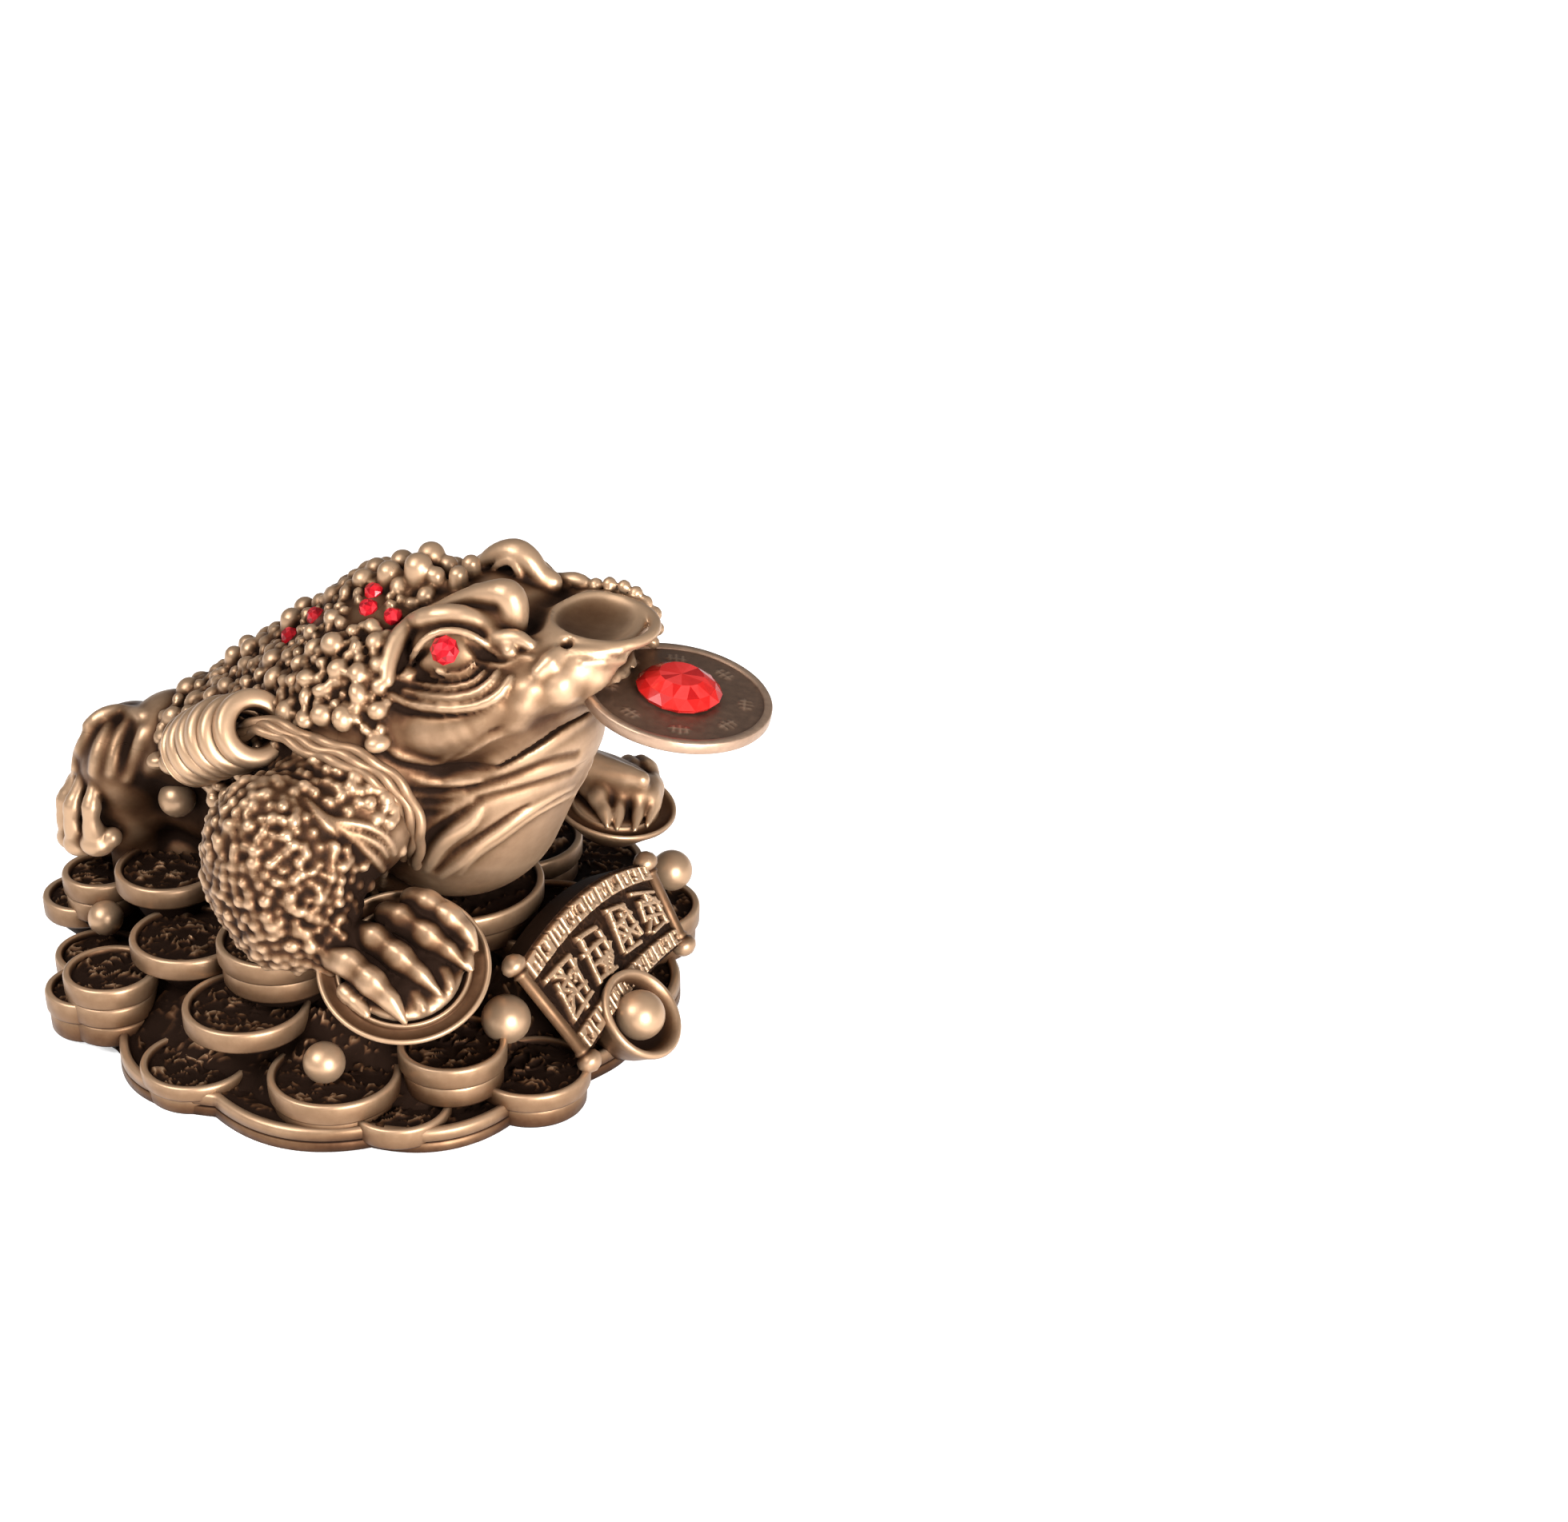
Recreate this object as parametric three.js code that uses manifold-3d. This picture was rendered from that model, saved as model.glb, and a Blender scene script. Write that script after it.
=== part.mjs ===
// Money toad: a three-legged toad on a round pile of coins, cast in one piece,
// with a loose coin in its mouth and red faceted stones glued to it.
//
// Millimetres. The toad faces +X, its left is +Y, up is +Z.
// The origin is the middle of the flat underside.

import * as THREE from "three";
import { mergeVertices } from "three/addons/utils/BufferGeometryUtils.js";
import Module from "manifold-3d";

const wasm = await Module();
wasm.setup();

// Driving sizes
const BASE_DIAMETER = 80; // across the foot of the pile; the cast figure's forms are shares of it
const MOUTH_COIN_DIAMETER = 24;
const MOUTH_COIN_THICKNESS = 1.6;
const MOUTH_COIN_RIM = 1.1; // width of the raised rim
const MOUTH_COIN_RELIEF = 0.25; // height of the rim above the coin's face
const MOUTH_COIN_GRIP = 4.2; // how far the coin reaches in behind the lips
const MOUTH_COIN_TILT = 10.7; // degrees that the coin's free end hangs down
const COIN_GEM_DIAMETER = 11;
const COIN_GEM_HEIGHT = 2.6;
const EYE_GEM_DIAMETER = 3.8;
const EYE_GEM_HEIGHT = 1.5;
const BACK_GEM_DIAMETER = 2.7;
const BACK_GEM_HEIGHT = 1.4;
const GEM_SEAT_DEPTH = 0.6; // how deep a small stone's seat is sunk
const CLEARANCE = 0.3; // between separate pieces that touch
const PILE_COIN_THICKNESS = 3;
const PILE_COIN_RIM = 1; // width of a pile coin's raised rim
const PILE_COIN_RELIEF = 0.7; // depth of a pile coin's sunk face
const STRING_COIN_DIAMETER = 11;
const STRING_COIN_PITCH = 2; // thickness of each coin on the two strings
const STRING_COINS = 6;
const STRING_HOLE = 4.4; // diameter of the hole in the strings' coins
const CORD_DIAMETER = 2.6; // the cord through the strings
const DISH_DIAMETER = 24; // the dishes under the hands
const SCROLL_LIFT = 0.8; // height of the scroll's raised strokes
const WART_HEIGHT = 1.4;
const WART_PITCH = 4.6; // the least distance between two warts

// The cast figure's numbers below are millimetres for a base this wide, and grow with BASE_DIAMETER.
const CARVED_AT = 80;
const grow = BASE_DIAMETER / CARVED_AT;
const radians = THREE.MathUtils.degToRad;
const vector = ([x, y, z]) => new THREE.Vector3(x, y, z);
const at = (x, y, z) => vector([x, y, z]).multiplyScalar(grow);
const UP = new THREE.Vector3(0, 0, 1);
const SIDES = { right: -1, left: 1 };
const LEFT_ARM_AHEAD = 8; // the left arm reaches this much further forward than the right

// Solids

// A geometry's bare mesh, with shared corners merged.
function bare(geometry) {
  const copy = geometry.clone();
  copy.deleteAttribute("normal");
  copy.deleteAttribute("uv");
  return mergeVertices(copy, 1e-4);
}

// A closed geometry as a solid: slivers dropped, faces turned outwards.
function solid(geometry) {
  const merged = bare(geometry);
  const corners = merged.attributes.position.array;
  const kept = [];
  let volume = 0;
  const [a, b, c] = [0, 0, 0].map(() => new THREE.Vector3());
  for (let i = 0; i < merged.index.count; i += 3) {
    const [p, q, r] = merged.index.array.slice(i, i + 3);
    if (p === q || q === r || r === p) continue;
    kept.push(p, q, r);
    a.fromArray(corners, 3 * p);
    b.fromArray(corners, 3 * q);
    c.fromArray(corners, 3 * r);
    volume += a.dot(b.cross(c));
  }
  if (volume < 0) kept.reverse();
  const mesh = { numProp: 3, vertProperties: Float32Array.from(corners), triVerts: Uint32Array.from(kept) };
  return new wasm.Manifold(new wasm.Mesh(mesh));
}

// All solids of a list joined in one, in pairs so that the meshes stay small for longest.
function joined(solids) {
  let left = solids;
  while (left.length > 1) {
    const next = [];
    for (let i = 0; i < left.length; i += 2) {
      next.push(i + 1 < left.length ? left[i].add(left[i + 1]) : left[i]);
    }
    left = next;
  }
  return left[0];
}

function geometryOf(manifold) {
  const mesh = manifold.getMesh();
  const geometry = new THREE.BufferGeometry();
  geometry.setAttribute("position", new THREE.BufferAttribute(mesh.vertProperties, 3));
  geometry.setIndex(new THREE.BufferAttribute(mesh.triVerts, 1));
  geometry.computeVertexNormals();
  return geometry;
}

// Moves a geometry's own +Z onto a direction and its origin onto a place.
function stood(geometry, place, direction = UP) {
  const turn = new THREE.Quaternion().setFromUnitVectors(UP, direction.clone().normalize());
  return geometry.applyQuaternion(turn).translate(place.x, place.y, place.z);
}

// A turned solid about its own +Z, from [radius, height] points that start and end on the axis.
function turned(points, sides) {
  const profile = points.map(([radius, height]) => new THREE.Vector2(radius, height));
  return new THREE.LatheGeometry(profile, sides).rotateX(Math.PI / 2);
}

function ball(place, radius) {
  return solid(new THREE.SphereGeometry(radius, 7, 4).translate(place.x, place.y, place.z));
}

function tube(points, radius, sides, steps) {
  const section = new THREE.Shape();
  for (let i = 0; i < sides; i += 1) {
    const angle = (2 * Math.PI * i) / sides;
    section[i ? "lineTo" : "moveTo"](radius * Math.cos(angle), radius * Math.sin(angle));
  }
  section.closePath();
  const extrudePath = new THREE.CatmullRomCurve3(points);
  return solid(new THREE.ExtrudeGeometry(section, { steps, extrudePath, bevelEnabled: false }));
}

// Free forms are fields: functions of a point that are below zero inside the form.

// An egg, nose up by tilt and turned to the left by turn, in degrees.
function egg(middle, radii, tilt = 0, turn = 0) {
  const pose = new THREE.Euler(0, -radians(tilt), radians(turn), "ZYX");
  const unturn = new THREE.Matrix4().makeRotationFromEuler(pose).transpose();
  const centre = at(...middle);
  const size = at(...radii);
  return (point) => {
    const q = point.clone().sub(centre).applyMatrix4(unturn).divide(size);
    const k = q.length();
    return (k * (k - 1)) / Math.max(q.divide(size).length(), 1e-9);
  };
}

// A round-ended limb between two points, with its own radius at each.
function limb(from, to, fromRadius, toRadius, widening = 1) {
  const squeeze = new THREE.Vector3(1, 1 / widening, 1);
  const start = at(...from).multiply(squeeze);
  const along = at(...to).multiply(squeeze).sub(start);
  return (point) => {
    const q = point.clone().multiply(squeeze).sub(start);
    const share = THREE.MathUtils.clamp(q.dot(along) / along.lengthSq(), 0, 1);
    const radius = THREE.MathUtils.lerp(fromRadius, toRadius, share) * grow;
    return q.addScaledVector(along, -share).length() - radius;
  };
}

// Several fields as one form, with their meeting lines filled to a round of this size.
function blend(round, ...fields) {
  const size = round * grow;
  return (point) =>
    fields
      .map((field) => field(point))
      .reduce((a, b) => {
        const near = Math.max(size - Math.abs(a - b), 0) / size;
        return Math.min(a, b) - (near * near * size) / 4;
      });
}

// The last point of a form on the way out from a point, looked for from outside.
function surface(field, from, direction) {
  const step = 0.5 * grow;
  let far = 60 * grow;
  while (far > 0 && field(from.clone().addScaledVector(direction, far)) > 0) far -= step;
  let [inside, outside] = [far, far + step];
  for (let i = 0; i < 12; i += 1) {
    const middle = (inside + outside) / 2;
    if (field(from.clone().addScaledVector(direction, middle)) > 0) outside = middle;
    else inside = middle;
  }
  return from.clone().addScaledVector(direction, inside);
}

// A form as a solid: a ball's corners moved out or in along their rays to the form's surface.
// Corners in the directions that pass the test stand up as warts, a pitch or more apart.
function wrap(field, middle, detail, warty = () => false) {
  const centre = at(...middle);
  const geometry = bare(new THREE.IcosahedronGeometry(1, detail));
  const corners = geometry.attributes.position;
  const direction = new THREE.Vector3();
  const feet = [];
  for (let i = 0; i < corners.count; i += 1) {
    direction.fromBufferAttribute(corners, i).normalize();
    const place = surface(field, centre, direction);
    if (warty(direction) && feet.every((foot) => foot.distanceTo(place) > WART_PITCH * grow)) {
      feet.push(place.clone());
      place.addScaledVector(direction, WART_HEIGHT * grow);
    }
    corners.setXYZ(i, place.x, place.y, place.z);
  }
  return solid(geometry);
}

// The toad's forms

const torso = blend(
  5,
  limb([-15, 0, 27.6], [8, 0, 43.8], 15, 16, 1.3),
  egg([11, 0, 48.3], [12.5, 16, 13.5], 25),
);
const throat = limb([17, 0, 33], [26, 0, 46], 14.5, 14, 1.3);
const skull = blend(
  3,
  egg([23.5, 0, 52.5], [17, 15.5, 7], 20),
  egg([33.5, 0, 57.2], [8.5, 10, 5.2], 14),
  egg([31, 0, 55], [9.5, 12.5, 4], 18),
  egg([20, 0, 58], [8.5, 11, 5.5], 0),
  ...Object.values(SIDES).map((side) => egg([19.5, 10.5 * side, 49], [12, 6, 5.5], 14)),
);
const thigh = egg([-26, -4, 29.5], [11.8, 11, 10.8], 20);

// The middles of the dishes under the hands
const DISH_MIDDLE = (side) => (side === SIDES.left ? [23, 25.5, 19] : [22, -27.5, 21.5]);

function armForm(side) {
  const ahead = side === SIDES.left ? LEFT_ARM_AHEAD : 0;
  const lift = ahead / 2;
  const [x, y, z] = DISH_MIDDLE(side);
  return blend(
    4,
    egg([7.5 + ahead, 27 * side, 33.5 + lift], [13.5, 9, 11.5], 10, -6 * side),
    egg([10 + ahead, 19 * side, 37 + lift], [10, 9, 9], 10),
    limb([14 + ahead, 29 * side, 27 + lift], [x - 4, y, z + 3.5], 7, 4.5),
  );
}

const MOUTH_SLOPE = 19; // degrees, nose up, of the line between the lips
const MOUTH_LINE = [39.2, 0, 54.6]; // the middle of the upper lip's edge
const MOUTH_BACK = 24; // X of the corners of the mouth
const MOUTH_GAP = 0.9;
const MOUTH_GAP_DEPTH = 2;
const MOUTH_GAP_DROP = 0.3; // from the upper lip's edge to the middle of the gap

// The mouth's line: a thin slab between the lips, sunk to the gap's depth.
function mouthGap() {
  const length = 40 * grow;
  const slab = new THREE.BoxGeometry(length, length * 1.4, MOUTH_GAP * grow).translate(length / 2, 0, 0);
  const start = at(...MOUTH_LINE);
  const back = (MOUTH_LINE[0] - MOUTH_BACK) * grow;
  slab.rotateY(-radians(MOUTH_SLOPE));
  slab.translate(start.x - back, 0, start.z - back * Math.tan(radians(MOUTH_SLOPE)) - MOUTH_GAP_DROP);
  const head = blend(1, skull, throat);
  const core = wrap((point) => head(point) + MOUTH_GAP_DEPTH * grow, [24, 0, 50], 2);
  return solid(slab).subtract(core);
}

// The coin in the mouth: where its middle is and which way it faces
const MOUTH_COIN_SIDES = 24;
const coinTilt = radians(MOUTH_COIN_TILT);
const coinNormal = new THREE.Vector3(Math.sin(coinTilt), 0, Math.cos(coinTilt));
const coinForward = new THREE.Vector3(Math.cos(coinTilt), 0, -Math.sin(coinTilt));
const coinMiddle = at(MOUTH_LINE[0], 0, MOUTH_LINE[2])
  .addScaledVector(coinNormal, -MOUTH_COIN_THICKNESS / 2 - CLEARANCE)
  .addScaledVector(coinForward, MOUTH_COIN_DIAMETER / 2 - MOUTH_COIN_GRIP);

function mouthSlot() {
  const radius = MOUTH_COIN_DIAMETER / 2 + CLEARANCE;
  const height = MOUTH_COIN_THICKNESS + 2 * CLEARANCE;
  const profile = [[0, -height / 2], [radius, -height / 2], [radius, height / 2], [0, height / 2]];
  return solid(stood(turned(profile, MOUTH_COIN_SIDES), coinMiddle, coinNormal));
}

const EYE_MIDDLE = (side) => [20.4, 9 * side, 57.8];
const eyeForm = (side) => egg(EYE_MIDDLE(side), [5.6, 4.4, 4.6]);

const EYE_OUTWARD = (side) => vector([0.15, 0.86 * side, 0.45]);

// Each eyeball with the rim of its lids, turned about the way it looks and flattened from top to bottom
function eyes() {
  const profile = [[0, -3], [6.6, -2.4], [6.3, 1.8], [5, 2.8], [4.3, 1.9], [3.4, 3.5], [1.8, 4.4], [0, 4.5]];
  const scaled = profile.map(([radius, height]) => [radius * grow, height * grow]);
  return Object.values(SIDES).map((side) => {
    const eye = turned(scaled, 10).scale(1, 0.8, 1);
    return solid(stood(eye, at(...EYE_MIDDLE(side)), EYE_OUTWARD(side)));
  });
}

// The two curled brows and the nostrils beside the snout
function brows() {
  return Object.values(SIDES).flatMap((side) => {
    const middle = [21.5, 5.2 * side, 62.6];
    const brow = blend(
      2,
      limb([16.5, 6.2 * side, 61.5], middle, 2.4, 3.6),
      limb(middle, [27.8, 4.6 * side, 59.4], 3.6, 1.7),
    );
    const nostril = new THREE.TorusGeometry(1.2 * grow, 0.6 * grow, 3, 6);
    const outward = vector([0.3, 0.45 * side, 0.8]).normalize();
    const place = surface(skull, at(34, 4 * side, 56), outward).addScaledVector(outward, -0.2 * grow);
    return [wrap(brow, middle, 1), solid(stood(nostril, place, outward))];
  });
}

// Folds of skin that sweep from the armpit up to the chin, by the directions of their ends
const FOLDS = [
  { from: [0, 0.92, -0.38], to: [0.8, 0.5, 0.36] },
  { from: [0.1, 0.88, -0.48], to: [0.88, 0.42, 0.14] },
];
function throatFolds() {
  const middle = at(22, 0, 40);
  const shares = [0, 0.33, 0.67, 1];
  return Object.values(SIDES).flatMap((side) =>
    FOLDS.map(({ from, to }) => {
      const mirrored = [from, to].map(([x, y, z]) => vector([x, y * side, z]));
      const points = shares.map((share) => {
        const direction = mirrored[0].clone().lerp(mirrored[1], share).normalize();
        return surface(throat, middle, direction);
      });
      return tube(points, 1.3 * grow, 4, 3);
    }),
  );
}

function arms() {
  return Object.values(SIDES).map((side) => {
    const ahead = side === SIDES.left ? LEFT_ARM_AHEAD : 0;
    const middle = [9 + ahead, 26 * side, 34 + ahead / 2];
    const form = armForm(side);
    return wrap(form, middle, 4, (direction) => direction.y * side > -0.1 && direction.z > -0.75);
  });
}

// A dish with a double rim under each hand, and four knuckled fingers on it
const FINGERS = 4;
const FINGER_PITCH = 4.3;
const FINGER_LENGTH = 12;

// A finger or toe along its own +Z: knuckles and the narrow places between them, in turn.
function finger() {
  const radii = [1.5, 2.1, 1.5, 1.9, 1.3, 1.7];
  const step = FINGER_LENGTH / (radii.length - 1);
  const rings = radii.map((radius, i) => [radius * grow, i * step * grow]);
  return turned([[0, -0.6], ...rings, [0, (FINGER_LENGTH + 1) * grow]], 4);
}

// The three toes of the hind leg, which hang down at the back
function toes() {
  const down = vector([-0.36, 0, -0.93]);
  return [-9, -5, -1].map((y) => solid(stood(finger(), at(-35, y, 28), down)));
}

function hands() {
  return Object.values(SIDES).flatMap((side) => {
    const middle = at(...DISH_MIDDLE(side));
    const facing = vector([0.25, 0.45 * side, 0.857]).normalize();
    const r = DISH_DIAMETER / 2;
    const profile = [
      [0, -4], [r, 0.5], [r - 1, 1], [r - 2.4, -0.5], [0, -0.7],
    ];
    const dish = solid(stood(turned(profile, 14), middle, facing));
    const forward = vector([0.93, 0.08 * side, 0]);
    forward.addScaledVector(facing, -forward.dot(facing)).normalize();
    const across = new THREE.Vector3().crossVectors(facing, forward);
    const fingers = Array.from({ length: FINGERS }, (_, i) => {
      const offset = (i - (FINGERS - 1) / 2) * FINGER_PITCH * grow;
      const start = middle
        .clone()
        .addScaledVector(forward, -6.5 * grow)
        .addScaledVector(across, offset)
        .addScaledVector(facing, 1.2 * grow);
      return solid(stood(finger(), start, forward));
    });
    return [dish, ...fingers];
  });
}

// Strings of coins on the back, with the cord that comes forward over the shoulder
function coinString(side) {
  const r = STRING_COIN_DIAMETER / 2;
  const notch = 0.7;
  const length = STRING_COINS * STRING_COIN_PITCH;
  const profile = [[0, -length]];
  for (let i = 0; i < STRING_COINS; i += 1) {
    const foot = -length + i * STRING_COIN_PITCH;
    profile.push([r - notch, foot], [r, foot + STRING_COIN_PITCH * 0.7]);
  }
  profile.push([r - notch, 0], [STRING_HOLE / 2, 0], [STRING_HOLE / 2, -STRING_COIN_PITCH / 2]);
  profile.push([0, -STRING_COIN_PITCH / 2]);
  const facing = vector([0.8, -0.27 * -side, 0.525]).normalize();
  const front = at(-3, 20 * side, 48);
  const cord = [
    front.clone().addScaledVector(facing, -STRING_COIN_PITCH),
    at(3.4, 22 * side, 47.8),
    at(10.6, 22.5 * side, 47),
    at(16, 21.5 * side, 45),
    at(19.7, 20 * side, 41),
    at(19.5, 19 * side, 36),
    at(17.5, 19 * side, 32),
  ];
  return [solid(stood(turned(profile, 7), front, facing)), tube(cord, CORD_DIAMETER / 2, 4, 6)];
}

// The pile

// The pile's coins: middle X, middle Y, height of the top, diameter, coins in the stack
const PILE_COINS = [
  [-39, -7.5, 10, 11, 1], [-35.5, -8, 14.5, 10.5, 2], [-31.5, -19.5, 7.5, 13, 2], [-25, -24, 10.3, 13, 3],
  [-23, -10.5, 19, 14.5, 1], [-15.5, -19, 14.8, 15.5, 1], [-8, -31.5, 4.4, 14.5, 2], [-2.4, -27.4, 12, 16.5, 1],
  [-0.5, -21.5, 19, 16, 2], [11.9, -31, 7, 17, 2], [20.9, -30.5, 4, 13, 1], [25, -23.5, 10, 14, 2],
  [33.5, -18, 5.2, 15, 2], [16, -19, 16, 17, 2], [15, -1, 20, 23, 2], [26, 3, 15, 18, 2],
  [-36, 3, 12, 13, 2], [32, 20, 8.6, 16, 2], [20, 27, 9.5, 17, 2], [3, 30.5, 7, 18, 2],
  [14, 19, 16, 18, 2], [-7, 20, 17, 19, 2], [-14, 29, 8, 17, 2], [-27, 21, 11.4, 16, 3],
  [-23, 10, 19, 16, 2],
];

// A stack on the ground is narrower at its foot; any other draws in to a point inside the heap.
function pileCoin([x, y, top, diameter, count]) {
  const place = at(x, y, top);
  const r = (diameter / 2) * grow;
  const down = count * PILE_COIN_THICKNESS;
  const profile = [[0, -place.z], down < place.z ? [r, -down] : [r * 0.85, -place.z], [r, 0]];
  profile.push([r - PILE_COIN_RIM, -PILE_COIN_RELIEF], [0, -PILE_COIN_RELIEF]);
  return solid(stood(turned(profile, diameter > 14 ? 11 : 9), place));
}

// The heap that the coins lie on, with a scalloped foot like a ring of coins
const FOOT_AHEAD = 3; // the foot's middle is this much further forward than the coins'
function heap() {
  const lobes = 11;
  const depth = 3.4 * grow;
  const corners = 4; // of each lobe's round edge
  const outline = new THREE.Shape();
  for (let i = 0; i < lobes * corners; i += 1) {
    const angle = (2 * Math.PI * i) / (lobes * corners);
    const bulge = Math.sin((Math.PI * (i % corners)) / corners);
    const r = BASE_DIAMETER / 2 - 2.6 * (1 - bulge) * grow;
    outline[i ? "lineTo" : "moveTo"](FOOT_AHEAD * grow + r * Math.cos(angle), r * Math.sin(angle));
  }
  outline.closePath();
  const profile = [[0, 1], [35, 1], [20, 14], [0, 20]];
  const scaled = profile.map(([radius, height]) => [radius * grow, height * grow]);
  return [
    solid(new THREE.ExtrudeGeometry(outline, { depth, bevelEnabled: false })),
    solid(turned(scaled, 9)),
  ];
}

const PEARLS = [
  [29.7, -17.4, 11, 3.2],
  [34.9, 25, 9.8, 2.7],
  [11.1, -31.9, 8.6, 2.7],
  [-32.1, -13, 10.2, 2.4],
  [-30, 17.5, 12, 2.6],
  [-24.2, -6.5, 22.4, 2.4],
];

// A small boat-shaped ingot with a ball in it, at the foot of the scroll
function ingot() {
  const facing = vector([0.72, -0.12, 0.68]).normalize();
  const place = at(41, -5.4, 6.6);
  const bowl = [[0, -5], [3.8, -5], [5.2, 0.6], [4.4, 1], [3.6, -0.6], [0, -1.2]];
  const scaled = bowl.map(([radius, height]) => [radius * grow, height * grow]);
  return [
    solid(stood(turned(scaled, 12), place, facing)),
    ball(place.clone().addScaledVector(facing, 0.4 * grow), 3 * grow),
  ];
}

// The scroll: a point of its face from across, -1 to 1, and down, 0 to 1, lifted off the face.
const SCROLL_HALF = 15.5;
function scrollPoint(across, down, lift) {
  const y = across * SCROLL_HALF;
  const drop = across * across;
  const upper = at(32.6 + 2.2 * across, y, 21.3 - 3.8 * drop);
  const lower = at(40, y, 8 - 1.6 * drop);
  const out = lower.clone().sub(upper).cross(new THREE.Vector3(0, 1, 0)).normalize();
  return upper.lerp(lower, down).addScaledVector(out, lift);
}

// A block on the scroll, from its middle and size in shares of the face.
function scrollBlock(across, down, width, height, bottom, top, steps = 1) {
  const block = new THREE.BoxGeometry(1, 1, 1, steps, 1, 1);
  const corners = block.attributes.position;
  for (let i = 0; i < corners.count; i += 1) {
    const lift = corners.getZ(i) > 0 ? top : bottom;
    const there = scrollPoint(
      across + corners.getX(i) * width,
      down + corners.getY(i) * height,
      lift,
    );
    corners.setXYZ(i, there.x, there.y, there.z);
  }
  return solid(block);
}

// Rows of small blocks along both long edges and broad strokes between them, with rolled-up ends
function scroll() {
  const parts = [scrollBlock(0, 0.5, 2, 1, -6 * grow, 0, 4)];
  const blocks = 5;
  const strokes = 4;
  for (let i = 0; i < blocks; i += 1) {
    const across = ((i + 0.5) / blocks) * 1.84 - 0.92;
    parts.push(...[0.12, 0.88].map((down) => scrollBlock(across, down, 0.25, 0.16, -0.5, SCROLL_LIFT)));
  }
  for (let i = 0; i < strokes; i += 1) {
    const across = ((i + 0.5) / strokes) * 1.8 - 0.9;
    parts.push(scrollBlock(across - 0.1, 0.5, 0.13, 0.44, -0.5, SCROLL_LIFT));
    parts.push(scrollBlock(across + 0.11, 0.5, 0.13, 0.32, -0.5, SCROLL_LIFT));
  }
  for (const side of Object.values(SIDES)) {
    const ends = [scrollPoint(side, -0.1, 0), scrollPoint(side, 1.1, 0)];
    const profile = [[0, 0], [2, 0.8], [1.3, 3], [1.3, 12.6], [2, 14.8], [0, 15.6]];
    const length = ends[0].distanceTo(ends[1]);
    const scaled = profile.map(([radius, height]) => [radius * grow, (height / 15.6) * length]);
    parts.push(solid(stood(turned(scaled, 6), ends[0], ends[1].clone().sub(ends[0]))));
  }
  return parts;
}

// The stones

// A faceted stone on its own +Z, its foot at the origin.
function stone(diameter, height, sides) {
  const r = diameter / 2;
  return turned([[0, 0], [r * 0.9, 0], [r, height * 0.3], [r * 0.62, height], [0, height]], sides);
}

// A small stone's seat in a form, and the stone in it.
function seated(field, from, direction, diameter, height, sides) {
  const facing = direction.normalize();
  const place = surface(field, from, facing);
  const floor = place.clone().addScaledVector(facing, -GEM_SEAT_DEPTH);
  const r = diameter / 2 + CLEARANCE;
  const bore = turned([[0, 0], [r, 0], [r, 4], [0, 4]], sides);
  return {
    seat: solid(stood(bore, floor, facing)),
    gem: stood(stone(diameter, height, sides), floor.clone().addScaledVector(facing, CLEARANCE), facing),
  };
}

const eyeGem = (side) =>
  seated(
    eyeForm(side),
    at(...EYE_MIDDLE(side)),
    EYE_OUTWARD(side),
    EYE_GEM_DIAMETER,
    EYE_GEM_HEIGHT,
    8,
  );

// The seven stones of the back: a handle of three and a bowl of four, in a dipper's shape.
const BACK_GEMS = [
  [-16, -1, 47], [-7, -2, 54], [-5.4, -4.5, 53], [-1, -4.5, 56], [7, -4, 61], [8, -7, 60], [11.5, -8, 60.5],
];
const backGem = ([x, y, z]) => {
  const outward = vector([-0.4, 0.06 * y, 0.9]).normalize();
  const within = at(x, y, z).addScaledVector(outward, -12 * grow);
  return seated(torso, within, outward, BACK_GEM_DIAMETER, BACK_GEM_HEIGHT, 6);
};

const eyeGems = Object.fromEntries(Object.entries(SIDES).map(([name, side]) => [name, eyeGem(side)]));
const backGems = BACK_GEMS.map(backGem);

function castFigure() {
  const body = joined([
    wrap(torso, [2, 0, 38], 6, (direction) => direction.z > 0.2 && direction.x < 0.6),
    wrap(throat, [22, 0, 40], 3),
    wrap(skull, [24, 0, 54.5], 4),
    wrap(thigh, [-26, -4, 29.5], 2),
    ...toes(),
    ...eyes(),
    ...brows(),
    ...throatFolds(),
    ...arms(),
  ]);
  const pile = joined([
    ...heap(),
    ...PILE_COINS.map(pileCoin),
    ...PEARLS.map(([x, y, z, radius]) => ball(at(x, y, z), radius * grow)),
    ...ingot(),
    ...scroll(),
  ]);
  const extras = joined([...hands(), ...Object.values(SIDES).flatMap(coinString)]);
  const seats = [...Object.values(eyeGems), ...backGems].map(({ seat }) => seat);
  return joined([body, pile, extras]).subtract(joined([mouthGap(), mouthSlot(), ...seats]));
}

function mouthCoin() {
  const r = MOUTH_COIN_DIAMETER / 2;
  const half = MOUTH_COIN_THICKNESS / 2;
  const face = half - MOUTH_COIN_RELIEF;
  const inner = r - MOUTH_COIN_RIM;
  const profile = [[0, -face], [inner, -face], [inner, -half], [r, -half], [r, half], [inner, half], [inner, face], [0, face]];
  return stood(turned(profile, MOUTH_COIN_SIDES), coinMiddle, coinNormal);
}

function coinGem() {
  const lift = MOUTH_COIN_THICKNESS / 2 - MOUTH_COIN_RELIEF + CLEARANCE;
  const place = coinMiddle.clone().addScaledVector(coinNormal, lift);
  return stood(stone(COIN_GEM_DIAMETER, COIN_GEM_HEIGHT, 16), place, coinNormal);
}

// Materials

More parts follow.
